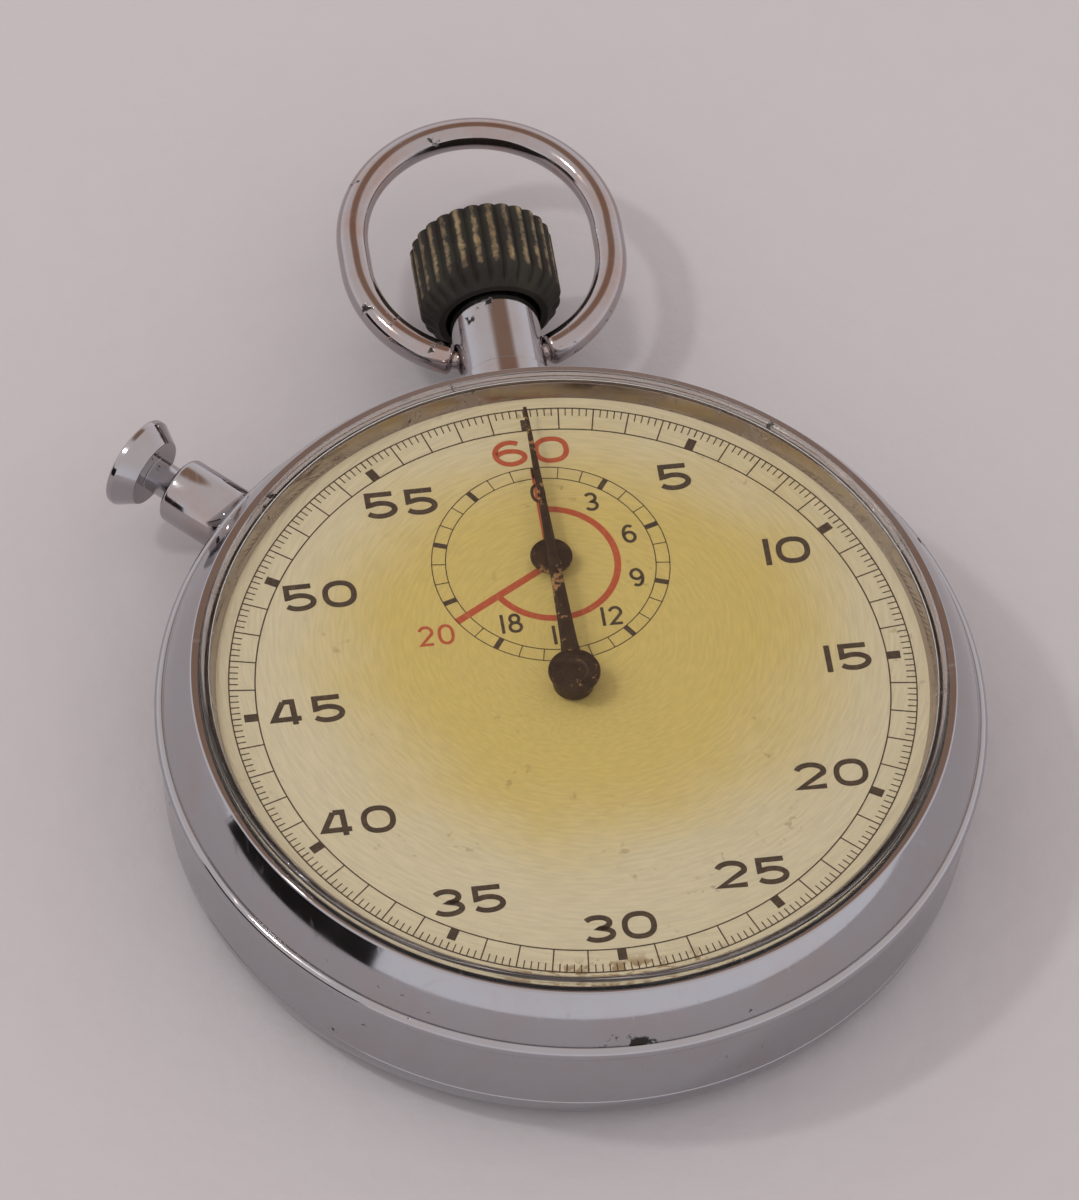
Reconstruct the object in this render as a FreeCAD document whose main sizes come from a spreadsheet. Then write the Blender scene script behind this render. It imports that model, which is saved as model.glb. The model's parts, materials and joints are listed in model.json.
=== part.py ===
import FreeCAD, Part
import Sketcher
import math
import os
import re
from types import SimpleNamespace
from FreeCAD import Rotation, Vector

# A mechanical hand stopwatch, in millimetres. The origin is the centre of the flat back,
# +Z points out of the dial, +Y to the crown and +X to the quarter mark of the dial.

# a value that starts with = is worked out from the others
SIZES = {
    # case
    "case_radius": 24.9, "case_wall": 1.6, "case_bore": "=case_radius - case_wall",
    "case_wall_top": 8.15, "seam_height": 3.0, "ledge_width": 0.7,
    "ledge_radius": "=case_bore - ledge_width", "ledge_height": 5.0, "spigot_depth": 0.8,
    "spigot_wall": 1.3, "spigot_radius": "=case_radius - spigot_wall", "bead_radius": 0.5,
    "neck_ring_wall": 0.7, "neck_ring_radius": "=case_bore + neck_ring_wall",
    "neck_ring_height": "=dial_height - 0.4", "back_wall": 0.7, "back_round": 2.6,
    "bezel_overhang": 0.17, "bezel_foot_radius": "=case_radius + bezel_overhang",
    "bezel_foot_height": "=case_wall_top + 2 * bead_radius + 0.02",
    "bezel_shoulder_radius": "=bezel_foot_radius - 0.82",
    "bezel_shoulder_height": "=bezel_foot_height + 2.08",
    "bezel_height": 12.66, "lip_outer_radius": "=bezel_foot_radius - 1.72",
    "lip_inner_radius": "=neck_ring_radius - 1.13", "lip_drop": 0.12,
    "bezel_seat_height": "=neck_ring_height + 0.02",
    "crystal_radius": "=lip_inner_radius - fit_gap", "crystal_wall": 0.54,
    "crystal_foot_height": "=dial_height + 0.5", "crystal_shoulder_height": "=crystal_height - 0.95",
    "crystal_height": 14.0, "crystal_thickness": 0.85, "crystal_round": 0.45,
    "rehaut_foot_radius": "=rehaut_top_radius - 0.5",
    "rehaut_top_radius": "=crystal_radius - crystal_wall - 0.05",
    "rehaut_top_height": "=dial_height + 1",
    # dial and plates
    "dial_height": 11.1, "dial_thickness": 0.4, "dial_radius": "=case_bore - 0.6",
    "subdial_offset": 9.2, "plate_radius": "=case_bore - 0.05", "plate_thickness": 2.4,
    "spacer_bore": "=dial_radius - 0.7", "fit_gap": 0.03, "clear_gap": 0.2,
    # pendant, crown and bow
    "stem_height": 6.2, "stem_radius": 0.6, "stem_inner_end": 15.2, "neck_radius": 2.8,
    "neck_foot_radius": "=neck_radius + 0.1", "neck_foot_end": "=case_radius + 2",
    "neck_start": "=case_radius - 1.2", "neck_end": "=hinge_distance + 3.5",
    "neck_bore": "=neck_radius - 1.15", "neck_floor_end": "=neck_start + 0.9",
    "collar_start": "=neck_floor_end + 2.9", "collar_length": 0.8,
    "crown_start": "=neck_end - 0.7", "crown_length": 5.6, "crown_radius": 4.375,
    "crown_lip_radius": "=crown_cavity_radius + 0.5",
    "crown_cavity_radius": "=neck_radius + clear_gap", "crown_cavity_depth": 2.6,
    "flute_count": 27, "flute_radius": 0.36, "flute_lift": 0.12,
    "bow_wire_radius": 1.0, "bow_radius": 8.03, "bow_straight": 0.7, "bow_tilt": 3.0,
    "bow_end_distance": "=neck_radius + clear_gap", "hinge_distance": "=case_radius + 4.2",
    "bow_pin_radius": 0.6, "bow_pin_end": "=neck_radius - 0.9",
    # side pusher
    "pusher_bearing": 45.0, "pusher_tube_radius": 2.15, "pusher_tube_end": "=case_radius + 5.25",
    "pusher_radius": 1.1, "pusher_guide_start": "=pusher_tube_end - 1.55",
    "pusher_chamber": "=pusher_tube_radius - 0.55",
    "pusher_flange_radius": "=pusher_chamber - 0.1", "pusher_flange_length": 0.7,
    "pusher_tail_radius": 0.7, "pusher_tail_end": 19.7,
    "pusher_head_start": "=pusher_tube_end + 1.85", "pusher_neck_radius": 2.2,
    "pusher_head_radius": 2.95, "pusher_head_end": "=pusher_head_start + 1.6",
    "pusher_crown": 0.2, "pusher_bush_length": 0.8, "pusher_travel": 1.3,
    # going train
    "barrel_teeth": 90, "barrel_module": 0.17, "third_pinion_teeth": 9,
    "third_teeth": 72, "train_module": 0.15, "sweep_pinion_teeth": 8, "fourth_teeth": 70,
    "escape_pinion_teeth": 7, "escape_bearing": 220.0, "escape_teeth": 15,
    "escape_radius": 3.1, "crown_wheel_teeth": 30, "ratchet_teeth": 33,
    "winding_module": 0.3333, "winding_pinion_teeth": 12, "crown_wheel_offset": 12.5,
    "barrel_bearing": -16.0, "barrel_radius": 7.15, "barrel_top": 6.75,
    "barrel_wall": 0.3, "pivot_radius": 0.22, "arbor_radius": 0.5,
    "balance_x": -12.5, "balance_y": -4.0, "balance_radius": 6.0, "fork_x": -8.0,
    "fork_y": -3.85, "bridge_height": 1.9, "bridge_thickness": 0.8,
    # minute counter and levers
    "counter_pinion_teeth": 10, "idler_teeth": 50, "counter_module": 0.16,
    "minute_teeth": 60, "minute_module": 0.14, "sweep_heart_radius": 1.6,
    "minute_heart_radius": 1.3, "hammer_x": -17.7, "hammer_y": 9.9, "stud_radius": 0.5,
    "lever_x": 9.0, "lever_y": 14.7, "column_x": 14.5, "column_y": 6.0,
    "column_count": 8, "brake_x": 0.0, "brake_y": -13.0,
    # hands
    "sweep_hand_height": "=dial_height + 1.45", "sweep_hand_droop": 1.1,
    "sweep_hand_reach": 20.4, "sweep_hub_radius": 1.6,
    "minute_hand_height": "=dial_height + 0.7", "minute_hand_reach": 6.9, "hand_thickness": 0.2,
}

doc = FreeCAD.newDocument("Stopwatch")
sheet = doc.addObject("Spreadsheet::Sheet", "Sizes")
for row, name in enumerate(SIZES, 1):
    sheet.set(f"A{row}", name)
    sheet.setAlias(f"B{row}", name)
for row, value in enumerate(SIZES.values(), 1):
    sheet.set(f"B{row}", str(value))
doc.recompute()
size = SimpleNamespace(**{name: float(sheet.get(name)) for name in SIZES})

nodes = {}


# ---------------------------------------------------------------- helpers

def linked(expression):
    """The expression with every size's name pointed at the sheet."""
    return re.sub(r"[a-z_]+", lambda m: f"Sizes.{m[0]}" if m[0] in SIZES else m[0], str(expression))


def tie(thing, **expressions):
    for prop, expression in expressions.items():
        thing.setExpression(prop, linked(expression))


def place(thing, x="0", y="0", z="0", turn=None):
    if turn is not None:
        thing.Placement.Rotation = turn
    for axis, expression in zip("xyz", (x, y, z)):
        thing.setExpression(f"Placement.Base.{axis}", linked(expression))


ALONG = {"z": Rotation(), "y": Rotation(Vector(1, 0, 0), -90), "x": Rotation(Vector(0, 1, 0), 90)}


def keep(label, thing):
    thing.Label = label
    nodes[label] = thing
    return thing


def cylinder(radius, height, x="0", y="0", z="0", along="z"):
    thing = doc.addObject("Part::Cylinder", "Cylinder")
    tie(thing, Radius=radius, Height=height)
    place(thing, x, y, z, ALONG[along])
    return thing


def box(length, width, height, x="0", y="0", z="0"):
    thing = doc.addObject("Part::Box", "Box")
    tie(thing, Length=length, Width=width, Height=height)
    place(thing, x, y, z)
    return thing


def fuse(*things):
    if len(things) == 1:
        return things[0]
    joined = doc.addObject("Part::MultiFuse", "Fuse")
    joined.Shapes = list(things)
    return joined


def cut(base, *tools):
    result = doc.addObject("Part::Cut", "Cut")
    result.Base = base
    result.Tool = fuse(*tools)
    return result


def profile(body, plane_role, points):
    """A closed outline on one of the body's planes; each corner is a pair of expressions."""
    sketch = body.newObject("Sketcher::SketchObject", "Outline")
    plane = next(f for f in body.Origin.OriginFeatures if f.Role == plane_role)
    sketch.AttachmentSupport = [(plane, "")]
    sketch.MapMode = "FlatFace"
    corners = [Vector(measure(a), measure(b), 0) for a, b in points]
    count = len(corners)
    for i in range(count):
        sketch.addGeometry(Part.LineSegment(corners[i], corners[(i + 1) % count]), False)
    for i in range(count):
        sketch.addConstraint(Sketcher.Constraint("Coincident", i, 2, (i + 1) % count, 1))
    for i, (a, b) in enumerate(points):
        for kind, expression, origin_axis, value in (
                ("DistanceX", a, -2, corners[i].x), ("DistanceY", b, -1, corners[i].y)):
            if str(expression) == "0":
                sketch.addConstraint(Sketcher.Constraint("PointOnObject", i, 1, origin_axis))
            else:
                index = sketch.addConstraint(Sketcher.Constraint(kind, -1, 1, i, 1, value))
                sketch.setExpression(f"Constraints[{index}]", linked(expression))
    return sketch


def measure(expression):
    """The present value of an expression, worked out in a scratch cell of the sheet."""
    sheet.set("D1", "=" + re.sub("Sizes.", "", linked(expression)))
    sheet.recompute()
    return float(sheet.get("D1"))


def turned(points, rounds=()):
    """A body turned about Z from (radius, height) corners; rounds pairs a corner with a radius."""
    body = doc.addObject("PartDesign::Body", "Body")
    sketch = profile(body, "XZ_Plane", points)
    turn = body.newObject("PartDesign::Revolution", "Turn")
    turn.Profile = sketch
    turn.ReferenceAxis = (sketch, ["V_Axis"])
    turn.Angle = 360
    sketch.Visibility = False
    body.Tip = turn
    doc.recompute()
    for corner, radius in rounds:
        round_corner(body, measure(points[corner][0]), measure(points[corner][1]), radius)
    return body


def round_corner(body, radius_at, height_at, radius):
    edges = [f"Edge{i}" for i, edge in enumerate(body.Shape.Edges, 1)
             if isinstance(edge.Curve, Part.Circle) and abs(edge.Curve.Radius - radius_at) < 1e-4
             and abs(edge.CenterOfMass.z - height_at) < 1e-4]
    base = body.Tip
    fillet = body.newObject("PartDesign::Fillet", "Round")
    fillet.Base = (base, edges)
    tie(fillet, Radius=radius)
    body.Tip = fillet
    doc.recompute()


def shaped(shape):
    """A feature that holds a shape made with Part's own functions."""
    feature = doc.addObject("Part::Feature", "Shape")
    feature.Shape = shape
    return feature


def on_circle(radius, degrees, centre=Vector()):
    angle = math.radians(degrees)
    return centre + Vector(radius * math.cos(angle), radius * math.sin(angle), 0)


def toothed(centre, teeth, module, z, thickness, phase=0.0, bore=0.0, lean=0.0):
    """A toothed disc: each tooth is a trapezium on the root circle, one of them at phase degrees."""
    pitch = 360.0 / teeth
    pitch_radius = module * teeth / 2
    root, tip = pitch_radius - 1.15 * module, pitch_radius + 0.85 * module
    outline = []
    for i in range(teeth):
        middle = phase + i * pitch
        for radius, share in ((root, -0.30), (tip, -0.10 + lean), (tip, 0.10 + lean), (root, 0.30)):
            outline.append(on_circle(radius, middle + share * pitch, centre))
    outline.append(outline[0])
    wheel = Part.Face(Part.makePolygon(outline)).extrude(Vector(0, 0, thickness))
    wheel.translate(Vector(0, 0, z))
    if bore:
        wheel = wheel.cut(Part.makeCylinder(bore, thickness, centre + Vector(0, 0, z)))
    return wheel


def spoked(wheel, centre, inner, outer, z, thickness, count=4, width=0.7):
    """Cuts windows between a hub and a rim, so that arms of the given width are left."""
    ring = Part.makeCylinder(outer, thickness, centre + Vector(0, 0, z))
    ring = ring.cut(Part.makeCylinder(inner, thickness, centre + Vector(0, 0, z)))
    for i in range(count // 2):
        arm = Part.makeBox(2 * outer, width, thickness, Vector(-outer, -width / 2, z))
        arm.rotate(Vector(), Vector(0, 0, 1), i * 360.0 / count)
        arm.translate(centre)
        ring = ring.cut(arm)
    return wheel.cut(ring)


def disc(centre, radius, z, height):
    return Part.makeCylinder(radius, height, centre + Vector(0, 0, z))


def meshed(centre_a, teeth_a, phase_a, centre_b, teeth_b):
    """The phase that puts a gap of wheel b on each tooth of wheel a, along their line."""
    line = centre_b - centre_a
    bearing = math.degrees(math.atan2(line.y, line.x))
    offset = (bearing - phase_a) / (360.0 / teeth_a)
    return bearing + 180 + (offset + 0.5) * 360.0 / teeth_b


def third_corner(a, b, from_a, from_b, side):
    """The point at two given distances from a and b, on the chosen side of the line."""
    line = b - a
    along = (from_a ** 2 - from_b ** 2 + line.Length ** 2) / (2 * line.Length)
    across = math.sqrt(from_a ** 2 - along ** 2) * side
    unit = line.normalize()
    return a + unit * along + Vector(-unit.y, unit.x, 0) * across


def lever(points, width, z, thickness):
    """A flat lever: straight arms of one width with round ends, through the given points."""
    shape = None
    for a, b in zip(points, points[1:]):
        arm = Part.makeBox((b - a).Length, width, thickness, Vector(0, -width / 2, z))
        arm.rotate(Vector(), Vector(0, 0, 1), math.degrees(math.atan2(b.y - a.y, b.x - a.x)))
        arm.translate(a)
        arm = arm.fuse([disc(a, width / 2, z, thickness), disc(b, width / 2, z, thickness)])
        shape = arm if shape is None else shape.fuse(arm)
    return shape.removeSplitter()


def dome_point(rim_radius, rim_height, top):
    """A point halfway along the circular dome that rises from a rim to a top on the axis."""
    rise = top - rim_height
    ball = (rim_radius ** 2 + rise ** 2) / (2 * rise)
    half = rim_radius / 2
    return Vector(half, 0, top - ball + math.sqrt(ball ** 2 - half ** 2))


def coil(radius, wire, length, turns, steps=14, sides=6):
    """A compression spring about Z, from z = 0 to its length, as a faceted helix."""
    rings = []
    for i in range(turns * steps + 1):
        angle = 2 * math.pi * i / steps
        height = wire + (length - 2 * wire) * i / (turns * steps)
        rings.append([Vector((radius + wire * math.cos(2 * math.pi * k / sides)) * math.cos(angle),
                             (radius + wire * math.cos(2 * math.pi * k / sides)) * math.sin(angle),
                             height + wire * math.sin(2 * math.pi * k / sides)) for k in range(sides)])
    corners = [rings[0][::-1], rings[-1]]
    for low, high in zip(rings, rings[1:]):
        for k in range(sides):
            after = (k + 1) % sides
            corners += [[low[k], low[after], high[after]], [low[k], high[after], high[k]]]
    faces = [Part.Face(Part.makePolygon(points + points[:1])) for points in corners]
    solid = Part.Solid(Part.Shell(faces))
    if solid.Volume < 0:
        solid.reverse()
    return solid


def along_y(shape, start, height):
    """Turns a shape made about Z so that it runs along +Y from a start, at a height."""
    shape.rotate(Vector(), Vector(1, 0, 0), -90)
    shape.translate(Vector(0, start, height))
    return shape


# ---------------------------------------------------------------- case

case = turned([
    ("ledge_radius", "seam_height - spigot_depth"), ("spigot_radius", "seam_height - spigot_depth"),
    ("spigot_radius", "seam_height"), ("case_radius", "seam_height"),
    ("case_radius", "case_wall_top"), ("case_radius", "case_wall_top + 2 * bead_radius"),
    ("neck_ring_radius", "case_wall_top + 2 * bead_radius"),
    ("neck_ring_radius", "neck_ring_height"), ("case_bore", "neck_ring_height"),
    ("case_bore", "ledge_height"), ("ledge_radius", "ledge_height")])
bead = doc.addObject("Part::Torus", "Bead")
tie(bead, Radius1="case_radius + 0.1", Radius2="bead_radius")
place(bead, z="case_wall_top + bead_radius")
neck_hole = cylinder("neck_foot_radius + fit_gap", "case_radius", y="ledge_radius - 2",
                     z="stem_height", along="y")
pusher_hole = cylinder("pusher_tube_radius + fit_gap", "case_radius + 2", z="stem_height", along="y")
pusher_hole.Placement.Rotation = Rotation(Vector(0, 0, 1), size.pusher_bearing).multiply(ALONG["y"])
keep("case_middle", cut(fuse(case, bead), neck_hole, pusher_hole))

keep("back_cover", turned([
    ("0", "0"), ("case_radius - back_round - 0.6", "0"), ("case_radius - 0.7", "back_round / 2"),
    ("case_radius - 0.02", "seam_height"), ("spigot_radius + fit_gap", "seam_height"),
    ("spigot_radius + fit_gap", "seam_height - spigot_depth - fit_gap"),
    ("spigot_radius - 0.3", "back_round / 2 + back_wall / 2"),
    ("case_radius - back_round - 0.6 - back_wall / 2", "back_wall"), ("0", "back_wall")],
    rounds=((1, "back_round"), (2, "back_round / 2"))))

keep("bezel", turned([
    ("neck_ring_radius + fit_gap", "bezel_foot_height"), ("bezel_foot_radius", "bezel_foot_height"),
    ("bezel_shoulder_radius + 0.3", "bezel_shoulder_height - 0.3"),
    ("lip_outer_radius", "bezel_height"), ("lip_inner_radius", "bezel_height - lip_drop"),
    ("lip_inner_radius", "bezel_seat_height"), ("neck_ring_radius + fit_gap", "bezel_seat_height")],
    rounds=((2, "2.5"), (3, "0.08"))))

dome_rim = size.crystal_radius - size.crystal_wall
dome_low = size.crystal_height - size.crystal_thickness
dome_edge = size.crystal_shoulder_height - size.crystal_wall
crystal_edges = [
    Part.LineSegment(Vector(dome_rim, 0, size.crystal_foot_height),
                     Vector(size.crystal_radius, 0, size.crystal_foot_height)),
    Part.LineSegment(Vector(size.crystal_radius, 0, size.crystal_foot_height),
                     Vector(size.crystal_radius, 0, size.crystal_shoulder_height)),
    Part.Arc(Vector(size.crystal_radius, 0, size.crystal_shoulder_height),
             dome_point(size.crystal_radius, size.crystal_shoulder_height, size.crystal_height),
             Vector(0, 0, size.crystal_height)),
    Part.LineSegment(Vector(0, 0, size.crystal_height), Vector(0, 0, dome_low)),
    Part.Arc(Vector(0, 0, dome_low), dome_point(dome_rim, dome_edge, dome_low),
             Vector(dome_rim, 0, dome_edge)),
    Part.LineSegment(Vector(dome_rim, 0, dome_edge), Vector(dome_rim, 0, size.crystal_foot_height))]
crystal = Part.Face(Part.Wire([edge.toShape() for edge in crystal_edges])).revolve(Vector(), Vector(0, 0, 1))
shoulder = [edge for edge in crystal.Edges
            if abs(edge.Length - 2 * math.pi * size.crystal_radius) < 1e-4
            and abs(edge.CenterOfMass.z - size.crystal_shoulder_height) < 1e-3]
keep("crystal", shaped(crystal.makeFillet(size.crystal_round, shoulder)))

keep("rehaut_ring", turned([
    ("rehaut_foot_radius", "dial_height"), ("rehaut_top_radius", "rehaut_top_height"),
    ("crystal_radius - crystal_wall - 0.01", "rehaut_top_height"),
    ("crystal_radius - crystal_wall - 0.01", "crystal_foot_height - 0.02"),
    ("lip_inner_radius - 0.02", "crystal_foot_height - 0.02"), ("lip_inner_radius - 0.02", "dial_height")]))

neck = turned([
    ("stem_radius + fit_gap", "neck_start"), ("neck_foot_radius", "neck_start"),
    ("neck_foot_radius", "neck_foot_end"), ("neck_radius", "neck_foot_end + 0.1"),
    ("neck_radius", "neck_end"), ("neck_bore", "neck_end"), ("neck_bore", "neck_floor_end"),
    ("stem_radius + fit_gap", "neck_floor_end")], rounds=((4, "0.3"),))
place(neck, z="stem_height", turn=ALONG["y"])
bow_holes = cylinder("bow_pin_radius + fit_gap", "4 * neck_radius", x="-2 * neck_radius",
                     y="hinge_distance", z="stem_height", along="x")
keep("pendant_neck", cut(neck, bow_holes))

tube = turned([
    ("pusher_chamber", "neck_start"), ("pusher_tube_radius", "neck_start"),
    ("pusher_tube_radius", "pusher_tube_end"), ("pusher_radius + fit_gap", "pusher_tube_end"),
    ("pusher_radius + fit_gap", "pusher_guide_start"), ("pusher_chamber", "pusher_guide_start")],
    rounds=((2, "0.35"),))
PUSHER_TURN = Rotation(Vector(0, 0, 1), size.pusher_bearing).multiply(ALONG["y"])
place(tube, z="stem_height", turn=PUSHER_TURN)
keep("pusher_tube", tube)

bush = turned([
    ("pusher_tail_radius + fit_gap", "neck_start"), ("pusher_chamber - 0.01", "neck_start"),
    ("pusher_chamber - 0.01", "neck_start + pusher_bush_length"),
    ("pusher_tail_radius + fit_gap", "neck_start + pusher_bush_length")])
place(bush, z="stem_height", turn=PUSHER_TURN)
keep("pusher_bush", bush)

# ---------------------------------------------------------------- crown, stem and bow

crown = turned([
    ("0", "crown_start + crown_cavity_depth"), ("crown_cavity_radius", "crown_start + crown_cavity_depth"),
    ("crown_cavity_radius", "crown_start"), ("crown_lip_radius", "crown_start"),
    ("crown_radius", "crown_start + 1.2"), ("crown_radius", "crown_start + crown_length"),
    ("0", "crown_start + crown_length")], rounds=((4, "0.9"), (5, "0.6")))
flute = crown.newObject("Sketcher::SketchObject", "FluteOutline")
flute.AttachmentSupport = [(next(f for f in crown.Origin.OriginFeatures if f.Role == "XY_Plane"), "")]
flute.MapMode = "FlatFace"
flute_at = size.crown_radius + size.flute_lift
flute.addGeometry(Part.Circle(Vector(flute_at, 0, 0), Vector(0, 0, 1), size.flute_radius), False)
flute.addConstraint(Sketcher.Constraint("PointOnObject", 0, 3, -1))
distance = flute.addConstraint(Sketcher.Constraint("DistanceX", -1, 1, 0, 3, flute_at))
flute.setExpression(f"Constraints[{distance}]", linked("crown_radius + flute_lift"))
round_size = flute.addConstraint(Sketcher.Constraint("Radius", 0, size.flute_radius))
flute.setExpression(f"Constraints[{round_size}]", linked("flute_radius"))
groove = crown.newObject("PartDesign::Pocket", "Flute")
groove.Profile = flute
groove.Type = "ThroughAll"
groove.Reversed = True
pattern = crown.newObject("PartDesign::PolarPattern", "Flutes")
pattern.Originals = [groove]
pattern.Axis = (flute, ["N_Axis"])
pattern.Angle = 360
tie(pattern, Occurrences="flute_count")
crown.Tip = pattern
place(crown, z="stem_height", turn=ALONG["y"])
stem_bore = cylinder("stem_radius", "crown_length - 1", y="crown_start", z="stem_height", along="y")
keep("crown", cut(crown, stem_bore))

keep("winding_stem", cylinder("stem_radius", "crown_start + crown_length - 1 - stem_inner_end",
                              y="stem_inner_end", z="stem_height", along="y"))

collar = turned([
    ("stem_radius + fit_gap", "collar_start"), ("neck_bore - fit_gap", "collar_start"),
    ("neck_bore - fit_gap", "collar_start + collar_length"),
    ("stem_radius + fit_gap", "collar_start + collar_length")])
place(collar, z="stem_height", turn=ALONG["y"])
keep("stem_collar", collar)

spring_length = size.collar_start - size.neck_floor_end
keep("crown_spring", shaped(along_y(coil(1.2, 0.14, spring_length, 5),
                                    size.neck_floor_end, size.stem_height)))

bow_centre = "hinge_distance + sqrt(bow_radius ^ 2 - bow_end_distance ^ 2) + bow_straight"
bow_parts = []
for start, offset in ((0, "bow_straight"), (180, "-bow_straight")):
    arc = doc.addObject("Part::Torus", "BowArc")
    tie(arc, Radius1="bow_radius", Radius2="bow_wire_radius")
    arc.Angle3 = 180
    arc.Placement.Rotation = Rotation(Vector(0, 0, 1), start)
    place(arc, y=f"{bow_centre} + {offset}", z="stem_height")
    bow_parts.append(arc)
for side in (-1, 1):
    bow_parts.append(cylinder("bow_wire_radius", "2 * bow_straight", x=f"{side} * bow_radius",
                              y=f"{bow_centre} - bow_straight", z="stem_height", along="y"))
bow_gap = box("2 * bow_end_distance", "3 * neck_radius", "3 * neck_radius",
              x="-bow_end_distance", y="hinge_distance - 1.5 * neck_radius",
              z="stem_height - 1.5 * neck_radius")
bow_pins = [cylinder("bow_pin_radius", "neck_radius + 1.6 - bow_pin_end",
                     x="bow_pin_end" if side > 0 else "-neck_radius - 1.6",
                     y="hinge_distance", z="stem_height", along="x") for side in (-1, 1)]
bow = fuse(cut(fuse(*bow_parts), bow_gap), *bow_pins)
doc.recompute()
tilt = FreeCAD.Placement(Vector(), Rotation(Vector(1, 0, 0), size.bow_tilt),
                         Vector(0, size.hinge_distance, size.stem_height))
bow.Placement = tilt
keep("bow", bow)

# ---------------------------------------------------------------- side pusher

pusher = turned([
    ("0", "pusher_tail_end"), ("pusher_tail_radius", "pusher_tail_end"),
    ("pusher_tail_radius", "pusher_guide_start - pusher_flange_length"),
    ("pusher_flange_radius", "pusher_guide_start - pusher_flange_length"),
    ("pusher_flange_radius", "pusher_guide_start - fit_gap"), ("pusher_radius", "pusher_guide_start - fit_gap"),
    ("pusher_radius", "pusher_head_start"), ("pusher_neck_radius", "pusher_head_start"),
    ("pusher_head_radius", "pusher_head_end - 0.35"), ("pusher_head_radius", "pusher_head_end"),
    ("pusher_head_radius * 0.6", "pusher_head_end + pusher_crown"), ("0", "pusher_head_end + pusher_crown")],
    rounds=((9, "0.2"), (8, "0.25")))
place(pusher, z="stem_height", turn=PUSHER_TURN)
keep("side_pusher", pusher)

spring_start = size.neck_start + size.pusher_bush_length
spring = coil(1.15, 0.14, size.pusher_guide_start - size.pusher_flange_length - spring_start, 5)
spring = along_y(spring, spring_start, size.stem_height)
spring.rotate(Vector(), Vector(0, 0, 1), size.pusher_bearing)
keep("pusher_spring", shaped(spring))

# ---------------------------------------------------------------- places of the wheels

sweep_at = Vector()
crown_wheel_at = Vector(0, size.crown_wheel_offset, 0)
winding_pitch = size.winding_module * (size.crown_wheel_teeth + size.ratchet_teeth) / 2
barrel_at = on_circle(winding_pitch, size.barrel_bearing, crown_wheel_at)
third_at = third_corner(barrel_at, sweep_at,
                        size.barrel_module * (size.barrel_teeth + size.third_pinion_teeth) / 2,
                        size.train_module * (size.third_teeth + size.sweep_pinion_teeth) / 2, 1)
escape_at = on_circle(size.train_module * (size.fourth_teeth + size.escape_pinion_teeth) / 2,
                      size.escape_bearing)
fork_at = Vector(size.fork_x, size.fork_y, 0)
balance_at = Vector(size.balance_x, size.balance_y, 0)
minute_at = Vector(0, size.subdial_offset, 0)
idler_at = third_corner(sweep_at, minute_at,
                        size.counter_module * (size.counter_pinion_teeth + size.idler_teeth) / 2,
                        size.minute_module * (size.counter_pinion_teeth + size.minute_teeth) / 2, 1)
hammer_at = Vector(size.hammer_x, size.hammer_y, 0)
lever_at = Vector(size.lever_x, size.lever_y, 0)
column_at = Vector(size.column_x, size.column_y, 0)
brake_at = Vector(size.brake_x, size.brake_y, 0)
for name, point in (("third", third_at), ("escape", escape_at), ("barrel", barrel_at), ("idler", idler_at)):
    print(f"{name} wheel at {point.x:.3f}, {point.y:.3f}")

plate_low = size.ledge_height
plate_top = size.ledge_height + size.plate_thickness
bridge_low = size.bridge_height
bridge_top = size.bridge_height + size.bridge_thickness
pivot = size.pivot_radius
hole = size.pivot_radius + size.fit_gap
gap = size.clear_gap

# ---------------------------------------------------------------- plates and bridges

POSTS = {"train": (Vector(3.0, -7.4, 0), Vector(-3.2, 6.3, 0)),
         "barrel": (Vector(-8.5, 17.2, 0), Vector(19.2, 6.6, 0), Vector(6.0, 19.8, 0)),
         "cock": (Vector(-15.9, -12.2, 0), Vector(-18.6, 5.2, 0)),
         "pallet": (Vector(-5.3, -9.9, 0),),
         "dial": (Vector(6.4, 9.4, 0), Vector(3.6, -2.9, 0), Vector(-7.6, 1.4, 0))}
POST_RADIUS, SCREW_RADIUS, HEAD_RADIUS, HEAD_HEIGHT = 0.95, 0.4, 0.75, 0.35

plate = disc(Vector(), size.plate_radius, plate_low, size.plate_thickness)
openings = [
    disc(sweep_at, size.arbor_radius + size.fit_gap, plate_low, size.plate_thickness),
    disc(barrel_at, size.barrel_radius + 2 * gap, plate_low, size.barrel_top + 0.15 - plate_low),
    disc(barrel_at, size.arbor_radius + size.fit_gap, plate_low, size.plate_thickness),
    Part.makeBox(5.0, 5.2, size.plate_thickness, Vector(-2.5, 13.6, plate_low)),
    Part.makeBox(2.0, 3.0, size.plate_thickness, Vector(-1.0, 11.6, plate_low)),
    Part.makeBox(1.5, 8, size.plate_thickness, Vector(-0.75, 18, plate_low))]
slot = Part.makeBox(2.6, 8, size.plate_thickness, Vector(-1.3, 17.0, plate_low))
slot.rotate(Vector(), Vector(0, 0, 1), size.pusher_bearing)
openings.append(slot)
for point in (third_at, escape_at, fork_at, balance_at):
    openings.append(disc(point, hole, plate_low, 1.0))
openings.append(disc(minute_at, hole, plate_top - 1.0, 1.0))
for group in ("train", "barrel", "cock", "pallet"):
    openings += [disc(point, SCREW_RADIUS, plate_low, 1.5) for point in POSTS[group]]
openings += [disc(point, SCREW_RADIUS, plate_top - 0.45, 0.45) for point in POSTS["dial"]]
brake_slot = Part.makeBox(1.6, 1.6, size.plate_thickness, Vector(-0.8, -0.8, plate_low))
brake_tip = on_circle(size.balance_radius + 0.65, -75, balance_at)
brake_slot.translate(brake_tip)
openings.append(brake_slot)
feet = [on_circle(20.8, angle) for angle in (30, 150 + 45, 300)]
openings += [disc(point, 0.4 + size.fit_gap, plate_top - 1.2, 1.2) for point in feet]
plate = plate.cut(openings)
idler_stud = 0.28
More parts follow.
